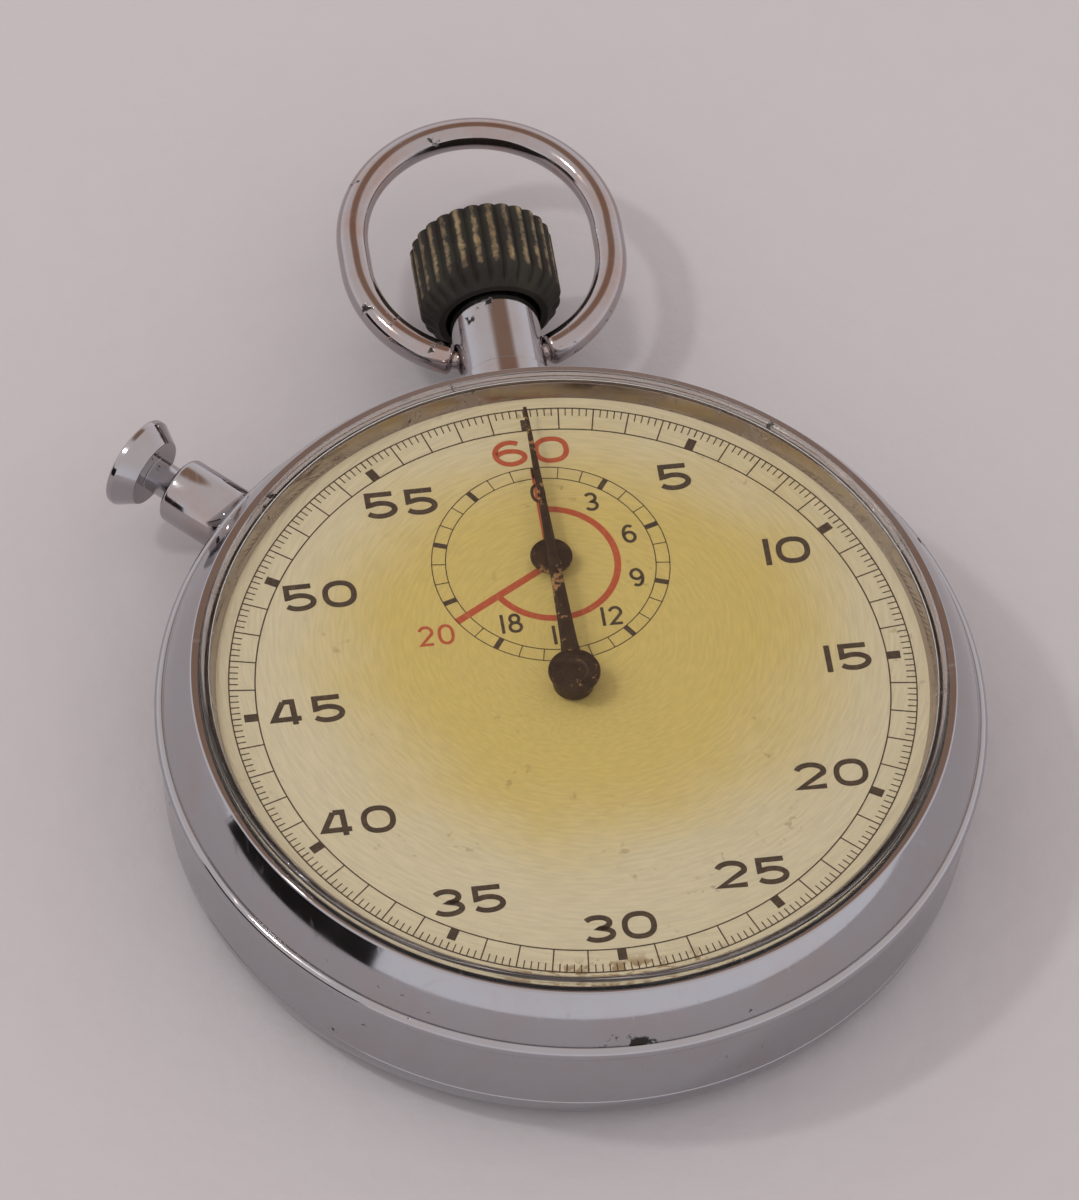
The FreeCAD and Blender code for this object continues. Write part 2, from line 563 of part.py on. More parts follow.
studs = [disc(idler_at, idler_stud, plate_top - 0.2, 8.5 - plate_top + 0.2)]
studs += [disc(point, size.stud_radius, plate_top - 0.2, top - plate_top + 0.2)
         for point, top in ((hammer_at, 9.3), (lever_at, 8.3), (column_at, 9.1), (brake_at, 8.3))]
plate = plate.fuse(studs)
keep("main_plate", shaped(plate.removeSplitter()))

dial_low = size.dial_height - size.dial_thickness
spacer = disc(Vector(), size.plate_radius, plate_top, dial_low - plate_top)
spacer = spacer.cut(disc(Vector(), size.spacer_bore, plate_top, dial_low - plate_top))
keep("dial_spacer_ring", shaped(spacer))

dial = disc(Vector(), size.dial_radius, dial_low, size.dial_thickness)
dial = dial.cut([disc(sweep_at, 0.8, dial_low, size.dial_thickness),
                 disc(minute_at, 0.55, dial_low, size.dial_thickness)])
dial = dial.fuse([disc(point, 0.4, plate_top - 1.0, dial_low - plate_top + 1.0) for point in feet])
keep("dial", shaped(dial))


def bridge(plan, low, thickness, posts, foot_low, foot_high, holes, extra_cuts=()):
    """A flat bridge over a plan outline, with a post and a screw hole at each foot."""
    outline = [Vector(x, y, low) for x, y in plan]
    shape = Part.Face(Part.makePolygon(outline + outline[:1])).extrude(Vector(0, 0, thickness))
    shape = shape.fuse([disc(post, POST_RADIUS + 0.35, low, thickness) for post in posts])
    shape = shape.fuse([disc(post, POST_RADIUS, foot_low, foot_high - foot_low) for post in posts])
    through = min(low, foot_low)
    depth = max(low + thickness, foot_high) - through
    tools = [disc(post, SCREW_RADIUS, through, depth) for post in posts]
    tools += [disc(point, radius, low, thickness) for point, radius in holes]
    return shape.cut(tools + list(extra_cuts)).removeSplitter()


keep("train_bridge", shaped(bridge(
    [(-4.3, 6.6), (-3.6, 7.4), (-2.0, 6.9), (6.6, 3.4), (6.8, 1.6), (3.9, -7.6), (2.6, -8.4),
     (-5.6, -4.2), (-5.6, -2.7)], bridge_low, size.bridge_thickness, POSTS["train"],
    bridge_top, plate_low, ((sweep_at, hole), (third_at, hole), (escape_at, hole)))))

barrel_bridge_low = 2.2
keep("barrel_bridge", shaped(bridge(
    [(-9.4, 18.2), (-9.6, 16.2), (-3.2, 9.5), (8.6, 8.6), (13.5, 4.8), (19.6, 5.4), (20.4, 7.0),
     (14.2, 14.6), (6.8, 20.9), (5.0, 20.9)], barrel_bridge_low, 1.1, POSTS["barrel"],
    barrel_bridge_low + 1.1, plate_low,
    ((barrel_at, size.arbor_radius + size.fit_gap), (crown_wheel_at, 0.7 + size.fit_gap)))))

keep("pallet_cock", shaped(bridge(
    [(-8.9, -3.4), (-7.4, -3.0), (-4.3, -9.6), (-6.2, -10.6)], 3.25, 0.5, POSTS["pallet"],
    3.75, plate_low, ((fork_at, hole),))))

cock_low = 1.15
keep("balance_cock", shaped(bridge(
    [(-15.0, -12.8), (-17.2, -12.0), (-13.9, -3.6), (-19.6, 5.0), (-17.8, 6.2), (-11.2, -3.2)],
    cock_low, 0.6, POSTS["cock"], cock_low + 0.6, plate_low, ((balance_at, hole),))))

keep("dial_side_bridge", shaped(bridge(
    [(7.2, 10.2), (7.4, 8.4), (4.6, -3.4), (2.8, -4.0), (-8.4, 0.6), (-8.4, 2.2), (-2.2, 9.4),
     (-0.8, 10.6)], 9.45, 0.7, POSTS["dial"], plate_top, 9.45,
    ((sweep_at, size.arbor_radius + size.fit_gap), (minute_at, 0.35 + size.fit_gap)))))


def screw(point, head_at, tip_at):
    """A cheese-head screw; its slot is cut across the head."""
    up = 1 if head_at > tip_at else -1
    shank_low = min(head_at, tip_at)
    shank = disc(point, SCREW_RADIUS - 0.02, shank_low, abs(head_at - tip_at))
    head_low = head_at if up > 0 else head_at - HEAD_HEIGHT
    head = disc(point, HEAD_RADIUS, head_low, HEAD_HEIGHT)
    slot_low = head_low + HEAD_HEIGHT / 2 if up > 0 else head_low
    slot = Part.makeBox(2 * HEAD_RADIUS, 0.2, HEAD_HEIGHT / 2,
                        point + Vector(-HEAD_RADIUS, -0.1, slot_low))
    return head.fuse(shank).cut(slot)


screw_tip = plate_low + 1.4
screws = [screw(point, low, screw_tip) for group, low in
          (("train", bridge_low), ("barrel", barrel_bridge_low), ("cock", cock_low), ("pallet", 3.25))
          for point in POSTS[group]]
keep("bridge_screws", shaped(Part.makeCompound(screws)))
keep("dial_bridge_screws", shaped(Part.makeCompound(
    [screw(point, 10.15, plate_top - 0.4) for point in POSTS["dial"]])))

# ---------------------------------------------------------------- winding work

pinion = toothed(Vector(), int(size.winding_pinion_teeth), size.winding_module, 0, 1.3,
                 phase=90, bore=size.stem_radius + size.fit_gap)
keep("winding_pinion", shaped(along_y(pinion, 17.2, size.stem_height)))

winding_low, winding_thickness = 3.55, 0.8
crown_teeth = int(size.crown_wheel_teeth)
crown_phase = 90 + 180 / crown_teeth
crown_wheel = toothed(crown_wheel_at, crown_teeth, size.winding_module, winding_low,
                      winding_thickness, crown_phase)
crown_wheel = crown_wheel.fuse(disc(crown_wheel_at, 0.7, barrel_bridge_low + 0.05,
                                    winding_low - barrel_bridge_low))
keep("crown_wheel", shaped(crown_wheel.removeSplitter()))

ratchet_teeth = int(size.ratchet_teeth)
ratchet_phase = meshed(crown_wheel_at, crown_teeth, crown_phase, barrel_at, ratchet_teeth)
arbor_bore = 0.9
keep("ratchet_wheel", shaped(toothed(barrel_at, ratchet_teeth, size.winding_module, winding_low,
                                     winding_thickness, ratchet_phase, arbor_bore)))

core_low = 4.85
arbor = disc(barrel_at, size.arbor_radius, barrel_bridge_low, plate_top - barrel_bridge_low - 0.1)
arbor = arbor.fuse([disc(barrel_at, arbor_bore, winding_low - 0.15, 1.2),
                    disc(barrel_at, 1.3, core_low, size.barrel_top - 0.35 - core_low)])
keep("barrel_arbor", shaped(arbor.removeSplitter()))

barrel_teeth = int(size.barrel_teeth)
third_pinion_teeth = int(size.third_pinion_teeth)
barrel_phase = 0.0
rim_low, rim_thickness = 4.5, 0.3
drum = toothed(barrel_at, barrel_teeth, size.barrel_module, rim_low, rim_thickness, barrel_phase)
drum = drum.fuse(disc(barrel_at, size.barrel_radius, rim_low, size.barrel_top - rim_low))
drum = drum.cut([disc(barrel_at, size.barrel_radius - size.barrel_wall, rim_low,
                      size.barrel_top - rim_low - size.barrel_wall),
                 disc(barrel_at, size.arbor_radius + size.fit_gap, rim_low, size.barrel_top)])
keep("barrel_drum", shaped(drum.removeSplitter()))

cover = disc(barrel_at, size.barrel_radius - size.barrel_wall - 0.01, rim_low, 0.3)
keep("barrel_cover", shaped(cover.cut(disc(barrel_at, arbor_bore + size.fit_gap, rim_low, 0.3))))

strip, strip_turns = 0.12, 9
strip_inner, strip_outer = 1.36, size.barrel_radius - size.barrel_wall - 0.1
inner_edge, outer_edge = [], []
steps = 24 * strip_turns
for i in range(steps + 1):
    spiral = strip_inner + (strip_outer - strip_inner - strip) * i / steps
    inner_edge.append(on_circle(spiral, 15 * i, barrel_at))
    outer_edge.append(on_circle(spiral + strip, 15 * i, barrel_at))
ribbon = Part.makePolygon(inner_edge + outer_edge[::-1] + inner_edge[:1])
ribbon = Part.Face(ribbon).extrude(Vector(0, 0, size.barrel_top - 0.4 - core_low))
ribbon.translate(Vector(0, 0, core_low + 0.02))
keep("mainspring", shaped(ribbon))

click_at = on_circle(7.6, 60, barrel_at)
click_tip = on_circle(size.winding_module * ratchet_teeth / 2 + 0.75, 84, barrel_at)
click = lever([click_at, click_tip], 0.9, winding_low, 0.5)
click = click.fuse(disc(click_at, 0.8, winding_low, 0.5))
click = click.fuse(disc(click_at, 0.35, barrel_bridge_low + 0.3, 1.5))
keep("click", shaped(click.removeSplitter()))
click_hole = disc(click_at, 0.35 + size.fit_gap, barrel_bridge_low, 1.1)
nodes["barrel_bridge"].Shape = nodes["barrel_bridge"].Shape.cut(click_hole)
spring_end = on_circle(8.6, 76, barrel_at)
keep("click_spring", shaped(lever([spring_end, click_tip + Vector(-0.1, 1.05, 0)], 0.25,
                                  winding_low - 0.23, 0.5)))

# ---------------------------------------------------------------- going train

third_teeth = int(size.third_teeth)
sweep_pinion_teeth = int(size.sweep_pinion_teeth)
fourth_teeth = int(size.fourth_teeth)
escape_pinion_teeth = int(size.escape_pinion_teeth)
third_phase = meshed(barrel_at, barrel_teeth, barrel_phase, third_at, third_pinion_teeth)
third = toothed(third_at, third_teeth, size.train_module, 3.1, 0.25, 0.0)
third = spoked(third, third_at, 1.3, 4.4, 3.1, 0.25)
third = third.fuse([toothed(third_at, third_pinion_teeth, size.barrel_module, 4.4, 0.55, third_phase),
                    disc(third_at, 0.42, bridge_top + 0.05, 4.95 - bridge_top - 0.05),
                    disc(third_at, pivot, bridge_low + 0.1, plate_low + 0.9 - bridge_low - 0.1)])
keep("third_wheel", shaped(third.removeSplitter()))

sweep_phase = meshed(third_at, third_teeth, 0.0, sweep_at, sweep_pinion_teeth)
fourth = toothed(sweep_at, fourth_teeth, size.train_module, 3.7, 0.25, 0.0)
fourth = spoked(fourth, sweep_at, 1.2, 4.3, 3.7, 0.25)
fourth = fourth.cut(disc(sweep_at, size.arbor_radius, 3.7, 0.25))
keep("fourth_wheel", shaped(fourth))

counter_teeth = int(size.counter_pinion_teeth)
arbor_top = size.sweep_hand_height + size.hand_thickness - 0.1
sweep_arbor = disc(sweep_at, size.arbor_radius, 3.5, arbor_top - 3.5)
sweep_arbor = sweep_arbor.fuse([
    toothed(sweep_at, sweep_pinion_teeth, size.train_module, 2.95, 0.55, sweep_phase),
    disc(sweep_at, pivot, bridge_low + 0.1, 1.2),
    toothed(sweep_at, counter_teeth, size.counter_module, 7.6, 0.4, 0.0)])
keep("sweep_arbor", shaped(sweep_arbor.removeSplitter()))

escape_phase = meshed(sweep_at, fourth_teeth, 0.0, escape_at, escape_pinion_teeth)
escape_pinion = toothed(escape_at, escape_pinion_teeth, size.train_module, 3.6, 0.42, escape_phase)
keep("escape_pinion", shaped(escape_pinion.fuse([
    disc(escape_at, 0.35, bridge_top + 0.05, 4.85 - bridge_top - 0.05),
    disc(escape_at, pivot, bridge_low + 0.1, plate_low + 0.9 - bridge_low - 0.1)]).removeSplitter()))

club_teeth = int(size.escape_teeth)
club = []
for i in range(club_teeth):
    for radius, share in ((size.escape_radius - 0.75, 0.0), (size.escape_radius - 0.12, 0.30),
                          (size.escape_radius, 0.34), (size.escape_radius - 0.08, 0.46),
                          (size.escape_radius - 0.35, 0.46), (size.escape_radius - 0.75, 0.40)):
        club.append(on_circle(radius, (i + share) * 360.0 / club_teeth, escape_at))
escape = Part.Face(Part.makePolygon(club + club[:1])).extrude(Vector(0, 0, 0.2))
escape.translate(Vector(0, 0, 4.2))
escape = spoked(escape, escape_at, 0.9, 1.9, 4.2, 0.2, width=0.4)
keep("escape_wheel", shaped(escape.cut(disc(escape_at, 0.35, 4.2, 0.2))))

to_escape = (escape_at - fork_at).normalize()
across = Vector(-to_escape.y, to_escape.x, 0)
pallets = [fork_at + to_escape * (-0.55) + across * 2.6 * side for side in (-1, 1)]
tail = fork_at + (balance_at - fork_at).normalize() * 2.7
fork = lever([pallets[0], fork_at, pallets[1]], 0.45, 4.15, 0.3)
fork = fork.fuse(lever([fork_at, tail], 0.45, 4.15, 0.3))
fork = fork.fuse([disc(fork_at, 0.45, 3.95, 0.7), disc(fork_at, pivot, 3.3, plate_low + 0.9 - 3.3)])
keep("pallet_fork", shaped(fork.removeSplitter()))

# ---------------------------------------------------------------- balance

rim = disc(balance_at, size.balance_radius, 2.3, 0.5).cut(
    disc(balance_at, size.balance_radius - 0.65, 2.3, 0.5))
arm = Part.makeBox(2 * size.balance_radius - 0.8, 0.7, 0.3,
                   balance_at + Vector(0.4 - size.balance_radius, -0.35, 2.4))
keep("balance_wheel", shaped(rim.fuse([arm, disc(balance_at, 0.9, 2.4, 0.3)]).cut(
    disc(balance_at, 0.4, 2.3, 0.6)).removeSplitter()))
staff = disc(balance_at, 0.4, 1.85, plate_low - 0.05 - 1.85).fuse([
    disc(balance_at, pivot, cock_low + 0.1, plate_low + 0.8 - cock_low), disc(balance_at, 1.35, 3.55, 0.35),
    disc(balance_at + Vector(1.1, 0, 0), 0.14, 3.85, 0.55)])
keep("balance_staff", shaped(staff.removeSplitter()))

coil_points = [on_circle(0.75 + 2.6 * i / 144, 30 * i, balance_at) for i in range(145)]
inner = [p + Vector(0, 0, 1.95) for p in coil_points]
outer = [on_circle(0.80 + 2.6 * i / 144, 30 * i, balance_at) + Vector(0, 0, 1.95) for i in range(145)]
hairspring = Part.Face(Part.makePolygon(inner + outer[::-1] + inner[:1])).extrude(Vector(0, 0, 0.2))
keep("hairspring", shaped(hairspring))
regulator_tip = on_circle(5.0, 205, balance_at)
regulator = lever([balance_at, regulator_tip], 0.5, cock_low - 0.2, 0.17)
regulator = regulator.fuse(disc(balance_at, 1.1, cock_low - 0.2, 0.17))
regulator = regulator.cut(disc(balance_at, hole + 0.05, cock_low - 0.2, 0.17))
keep("regulator_index", shaped(regulator.removeSplitter()))

# ---------------------------------------------------------------- minute counter and levers

idler_teeth, minute_teeth = int(size.idler_teeth), int(size.minute_teeth)
idler_phase = meshed(sweep_at, counter_teeth, 0.0, idler_at, idler_teeth)
idler = toothed(idler_at, idler_teeth, size.counter_module, 7.65, 0.25, idler_phase)
idler = idler.fuse([toothed(idler_at, counter_teeth, size.minute_module, 7.85, 0.6, 0.0),
                    disc(idler_at, 0.5, 7.45, 0.3)])
idler = idler.cut(disc(idler_at, idler_stud + size.fit_gap, plate_top, 2.0))
keep("minute_idler", shaped(idler.removeSplitter()))

minute_phase = meshed(idler_at, counter_teeth, 0.0, minute_at, minute_teeth)
minute = toothed(minute_at, minute_teeth, size.minute_module, 8.1, 0.25, minute_phase, bore=0.35)
keep("minute_wheel", shaped(spoked(minute, minute_at, 1.2, 3.3, 8.1, 0.25)))
minute_top = size.minute_hand_height + size.hand_thickness - 0.05
minute_arbor = disc(minute_at, 0.35, 7.5, minute_top - 7.5).fuse(
    disc(minute_at, pivot, plate_top - 0.9, 1.5))
keep("minute_arbor", shaped(minute_arbor.removeSplitter()))


def heart(centre, reach, z, thickness, bore):
    """A heart cam whose low point, the notch, faces +Y: its radius grows evenly to the far side."""
    low = 0.45 * reach
    rim_points = [on_circle(low + (reach - low) * abs(((a + 180) % 360) - 180) / 180, a + 90, centre)
                  for a in range(0, 360, 10)]
    cam = Part.Face(Part.makePolygon(rim_points + rim_points[:1])).extrude(Vector(0, 0, thickness))
    cam.translate(Vector(0, 0, z))
    return cam.cut(disc(centre, bore, z, thickness))


keep("sweep_heart", shaped(heart(sweep_at, size.sweep_heart_radius, 8.6, 0.5, size.arbor_radius)))
keep("minute_heart", shaped(heart(minute_at, size.minute_heart_radius, 8.6, 0.5, 0.35)))

push_line = on_circle(1, 90 + size.pusher_bearing)
tab_at = push_line * (size.pusher_tail_end - 0.6)
hammer_swing = size.pusher_travel / (tab_at - hammer_at).Length
sweep_face = size.sweep_heart_radius + 0.1 + abs(hammer_at.x) * hammer_swing
minute_face = size.subdial_offset + size.minute_heart_radius + 0.1 + abs(hammer_at.x) * hammer_swing
hammer = lever([tab_at, hammer_at, Vector(-5.5, 7.0, 0), Vector(1.6, sweep_face + 0.55, 0)], 1.0, 8.6, 0.5)
hammer = hammer.fuse(lever([tab_at, Vector(-6.0, minute_face + 0.6, 0), Vector(1.8, minute_face + 0.5, 0)],
                           1.0, 8.6, 0.5))
hammer = hammer.fuse(disc(hammer_at, 1.2, 8.6, 0.5))
tab = Part.makeBox(1.4, 0.9, 3.4, Vector(-0.7, -0.45, 5.7))
tab.rotate(Vector(), Vector(0, 0, 1), size.pusher_bearing)
tab.translate(tab_at)
hammer = hammer.fuse(tab).cut(disc(hammer_at, size.stud_radius + size.fit_gap, 8.0, 1.5))
keep("reset_hammer", shaped(hammer.removeSplitter()))
hammer_spring_at = Vector(-20.3, 2.4, 0)
keep("hammer_spring", shaped(lever([hammer_spring_at, Vector(-18.4, 7.2, 0)], 0.3, plate_top, 0.9).fuse(
    disc(hammer_spring_at, 0.7, plate_top, 0.9)).removeSplitter()))

tab_y = size.stem_inner_end - 0.5
operating = lever([Vector(0, tab_y, 0), lever_at, Vector(12.4, 9.6, 0)], 1.1, 7.55, 0.4)
operating = operating.fuse([disc(lever_at, 1.1, 7.55, 0.4),
                            Part.makeBox(1.2, 0.9, 2.2, Vector(-0.6, tab_y - 0.45, 5.7))])
operating = operating.cut(disc(lever_at, size.stud_radius + size.fit_gap, 7.5, 1.0))
keep("operating_lever", shaped(operating.removeSplitter()))
lever_spring_at = Vector(16.8, 12.4, 0)
keep("lever_spring", shaped(lever([lever_spring_at, Vector(13.6, 10.9, 0)], 0.25, plate_top, 0.6).fuse(
    disc(lever_spring_at, 0.6, plate_top, 0.6)).removeSplitter()))

columns = int(size.column_count)
saw = []
for i in range(2 * columns):
    saw += [on_circle(1.9, i * 180.0 / columns, column_at),
            on_circle(2.4, (i + 0.9) * 180.0 / columns, column_at)]
column_wheel = Part.Face(Part.makePolygon(saw + saw[:1])).extrude(Vector(0, 0, 0.4))
column_wheel.translate(Vector(0, 0, 7.5))
for i in range(columns):
    column = on_circle(1.45, (i + 0.5) * 360.0 / columns, column_at)
    column_wheel = column_wheel.fuse(disc(column, 0.3, 7.9, 0.9))
column_wheel = column_wheel.cut(disc(column_at, size.stud_radius + size.fit_gap, 7.4, 2.0))
keep("column_wheel", shaped(column_wheel.removeSplitter()))
jumper_at = Vector(19.4, -1.2, 0)
jumper_tip = on_circle(2.75, -40, column_at)
keep("column_jumper", shaped(lever([jumper_at, jumper_tip], 0.3, plate_top, 0.5).fuse(
    disc(jumper_at, 0.7, plate_top, 0.5)).removeSplitter()))

brake = lever([Vector(13.6, 2.5, 0), Vector(9.5, -9.5, 0), brake_at, brake_tip], 0.9, 7.55, 0.4)
brake = brake.fuse([disc(brake_at, 1.1, 7.55, 0.4), disc(brake_tip, 0.3, 2.3, 5.4)])
brake = brake.cut(disc(brake_at, size.stud_radius + size.fit_gap, 7.5, 1.0))
keep("brake_lever", shaped(brake.removeSplitter()))

# ---------------------------------------------------------------- hands

sweep_low = size.sweep_hand_height
hub = disc(sweep_at, size.sweep_hub_radius, sweep_low, size.hand_thickness)
hub = hub.fuse(disc(sweep_at, 1.15, size.dial_height + 0.15, sweep_low - size.dial_height - 0.15))
blade_plan = [(-0.45, 0), (-0.42, 2.2), (-0.27, 10.0), (-0.11, size.sweep_hand_reach),
              (0.11, size.sweep_hand_reach), (0.27, 10.0), (0.42, 2.2), (0.45, 0)]
blade = Part.Face(Part.makePolygon([Vector(x, y, sweep_low) for x, y in blade_plan + blade_plan[:1]]))
blade = blade.extrude(Vector(0, 0, size.hand_thickness * 0.6))
blade.rotate(Vector(0, 0, sweep_low), Vector(1, 0, 0), -size.sweep_hand_droop)
hub = hub.fuse(blade).cut(disc(sweep_at, size.arbor_radius, size.dial_height, 2.0))
keep("sweep_hand", shaped(hub.removeSplitter()))

minute_low = size.minute_hand_height
minute_hub = disc(minute_at, 1.3, minute_low, size.hand_thickness)
minute_hub = minute_hub.fuse(disc(minute_at, 0.8, size.dial_height + 0.15,
                                  minute_low - size.dial_height - 0.15))
pointer_plan = [(-0.22, 0), (-0.08, size.minute_hand_reach), (0.08, size.minute_hand_reach), (0.22, 0)]
pointer = [minute_at + Vector(x, y, minute_low) for x, y in pointer_plan + pointer_plan[:1]]
pointer = Part.Face(Part.makePolygon(pointer)).extrude(Vector(0, 0, size.hand_thickness * 0.6))
minute_hub = minute_hub.fuse(pointer)
keep("minute_hand", shaped(minute_hub.cut(disc(minute_at, 0.35, size.dial_height, 2.0)).removeSplitter()))

# ---------------------------------------------------------------- check and write

doc.recompute()
failed = [thing.Name for thing in doc.Objects if {"Invalid", "Error"} & set(thing.State)]
if failed:
    raise RuntimeError(f"failed objects: {failed}")
os.makedirs("parts", exist_ok=True)
for label, thing in nodes.items():
    shape = thing.Shape
    if shape.isNull() or not shape.isValid() or not shape.Solids or shape.Volume <= 0:
        raise RuntimeError(f"{label} has no sound solid")
    shape.exportStep(f"parts/{label}.step")
print(len(nodes), "nodes written")
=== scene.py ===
import bmesh
import bpy
import json
import math
import numpy as np
from mathutils import Matrix, Vector


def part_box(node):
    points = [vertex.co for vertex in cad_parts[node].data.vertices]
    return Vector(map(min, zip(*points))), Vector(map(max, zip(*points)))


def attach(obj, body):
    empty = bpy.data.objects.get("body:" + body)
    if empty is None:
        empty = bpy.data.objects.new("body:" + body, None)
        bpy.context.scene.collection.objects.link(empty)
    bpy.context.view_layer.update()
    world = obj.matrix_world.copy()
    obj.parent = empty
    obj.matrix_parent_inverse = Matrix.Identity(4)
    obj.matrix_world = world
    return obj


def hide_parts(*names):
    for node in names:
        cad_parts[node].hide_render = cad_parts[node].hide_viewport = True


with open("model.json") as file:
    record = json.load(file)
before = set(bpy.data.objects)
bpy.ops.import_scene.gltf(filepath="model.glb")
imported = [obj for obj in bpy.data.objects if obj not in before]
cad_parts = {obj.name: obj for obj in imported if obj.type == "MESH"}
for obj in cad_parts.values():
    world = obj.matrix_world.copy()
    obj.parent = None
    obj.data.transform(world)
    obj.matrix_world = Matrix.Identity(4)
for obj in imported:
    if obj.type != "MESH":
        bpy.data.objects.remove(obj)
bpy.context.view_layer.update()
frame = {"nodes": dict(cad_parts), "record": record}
millimetre = 0.001


def corner(node, high):
    # lowest or highest corner of a CAD node, in millimetres
    return np.array(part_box(node)[1 if high else 0]) / millimetre


def makePiece(name, vertices, faces, smooth=True):
    # vertices in millimetres, faces as one array of quads or triangles
    mesh = bpy.data.meshes.new(name)
    faces = np.asarray(faces, np.int32)
    count, sides = faces.shape
    mesh.vertices.add(len(vertices))
    mesh.vertices.foreach_set("co", (np.asarray(vertices, float) * millimetre).ravel())
    mesh.loops.add(count * sides)
    mesh.loops.foreach_set("vertex_index", faces.ravel())
    mesh.polygons.add(count)
    mesh.polygons.foreach_set("loop_start", np.arange(0, count * sides, sides, dtype=np.int32))
    mesh.polygons.foreach_set("use_smooth", np.full(count, smooth))
    mesh.update(calc_edges=True)
    mesh.validate()
    piece = bpy.data.objects.new(name, mesh)
    bpy.context.scene.collection.objects.link(piece)
    return piece


def gridFaces(rows, columns, closeRows, closeColumns, start=0):
    # quads of a rows x columns grid of points, wrapped where a direction closes on itself
    i = np.arange(rows if closeRows else rows - 1)
    j = np.arange(columns if closeColumns else columns - 1)
    i, j = np.meshgrid(i, j, indexing="ij")
    nextI, nextJ = (i + 1) % rows, (j + 1) % columns
    quads = np.stack([i * columns + j, i * columns + nextJ, nextI * columns + nextJ, nextI * columns + j], -1)
    return quads.reshape(-1, 4) + start


def roundedOutline(corners, steps=7):
    # a closed outline of (radius, height, rounding) corners: each corner is an arc that is
    # tangent to both its sides, with one more point just beyond each end of the arc
    corners = np.array(corners, float)
    points = []
    for k in range(len(corners)):
        here, rounding = corners[k, :2], corners[k, 2]
        back = corners[k - 1, :2] - here
        ahead = corners[(k + 1) % len(corners), :2] - here
        lengths = np.linalg.norm(back), np.linalg.norm(ahead)
        back, ahead = back / lengths[0], ahead / lengths[1]
        half = math.acos(np.clip(back @ ahead, -1, 1)) / 2
        if rounding <= 0 or half > 1.56:
            points.append(here[None])
            continue
        reach = min(rounding / math.tan(half), 0.45 * min(lengths))
        radius = reach * math.tan(half)
        middle = here + (back + ahead) / np.linalg.norm(back + ahead) * radius / math.sin(half)
        t = np.linspace(0, 1, steps)[:, None]
        first, last = here + back * reach - middle, here + ahead * reach - middle
        sweep = math.pi - 2 * half
        arc = (first * np.sin((1 - t) * sweep) + last * np.sin(t * sweep)) / math.sin(sweep)
        lead = min(0.12 * radius + 0.01, 0.04 * min(lengths))
        points += [here[None] + back * (reach + lead), middle + arc, here[None] + ahead * (reach + lead)]
    return np.concatenate(points)


alongY = Matrix.Rotation(math.radians(-90), 3, "X")


def turned(name, outline, turn=Matrix.Identity(3), centre=(0, 0, 0), segments=240, onAxis=False):
    # a surface of revolution: x = radius * cos(angle), y = radius * sin(angle), z = height;
    # an outline with onAxis starts and ends on the axis, where it is closed with a fan
    angle = np.linspace(0, 2 * math.pi, segments, endpoint=False)
    body = outline[1:-1] if onAxis else outline
    radius, height = body[:, 0][:, None], body[:, 1][:, None]
    ring = np.stack([radius * np.cos(angle), radius * np.sin(angle), height + 0 * angle], -1)
    points = ring.reshape(-1, 3)
    faces = gridFaces(len(body), segments, not onAxis, True)
    if onAxis:
        ends = np.array([[0, 0, outline[0, 1]], [0, 0, outline[-1, 1]]])
        j = np.arange(segments)
        first = np.stack([j, (j + 1) % segments, np.full(segments, len(points))], -1)
        last = (len(body) - 1) * segments
        second = np.stack([last + (j + 1) % segments, last + j, np.full(segments, len(points) + 1)], -1)
        points = np.concatenate([points, ends])
        faces = np.concatenate([faces[:, [0, 1, 2]], faces[:, [0, 2, 3]], first[:, ::-1], second[:, ::-1]])
    points = points @ np.array(turn).T + np.array(centre)
    return outward(makePiece(name, points, faces))


def outward(piece):
    # turns the whole shell round if its faces point inwards, read from its signed volume
    mesh = piece.data
    mesh.calc_loop_triangles()
    corners = np.zeros(len(mesh.loop_triangles) * 3, np.int32)
    mesh.loop_triangles.foreach_get("vertices", corners)
    co = np.zeros(len(mesh.vertices) * 3)
    mesh.vertices.foreach_get("co", co)
    a, b, c = (co.reshape(-1, 3)[corners.reshape(-1, 3)[:, k]] for k in range(3))
    if np.einsum("ij,ij->i", a, np.cross(b, c)).sum() < 0:
        mesh.flip_normals()
    return piece


def newMaterial(name):
    material = bpy.data.materials.new(name)
    material.use_nodes = True
    tree = material.node_tree
    surface = tree.nodes["Principled BSDF"]
    return material, tree, surface


def addNode(tree, kind, inputs=None, **settings):
    # each input is linked where a socket is given, and set where a plain value is
    node = tree.nodes.new(kind)
    for key, value in settings.items():
        setattr(node, key, value)
    for key, value in (inputs or {}).items():
        if isinstance(value, bpy.types.NodeSocket):
            tree.links.new(value, node.inputs[key])
        else:
            node.inputs[key].default_value = value
    return node


def mixColour(tree, factor, first, second, blend="MIX"):
    sockets = {0: factor, 6: first, 7: second}  # the colour sockets of a Mix node
    return addNode(tree, "ShaderNodeMix", sockets, data_type="RGBA", blend_type=blend).outputs[2]


def calculate(tree, operation, first, second=0.0, third=0.0, clamp=False):
    terms = {0: first, 1: second, 2: third}
    return addNode(tree, "ShaderNodeMath", terms, operation=operation, use_clamp=clamp).outputs[0]


def stepBetween(tree, value, low, high, atLow=0.0, atHigh=1.0):
    limits = {"Value": value, "From Min": low, "From Max": high, "To Min": atLow, "To Max": atHigh}
    return addNode(tree, "ShaderNodeMapRange", limits, interpolation_type="SMOOTHSTEP").outputs["Result"]


def noiseAt(tree, place, scale, detail, roughness=0.5):
    inputs = {"Vector": place, "Scale": scale, "Detail": detail, "Roughness": roughness}
    return addNode(tree, "ShaderNodeTexNoise", inputs).outputs["Fac"]


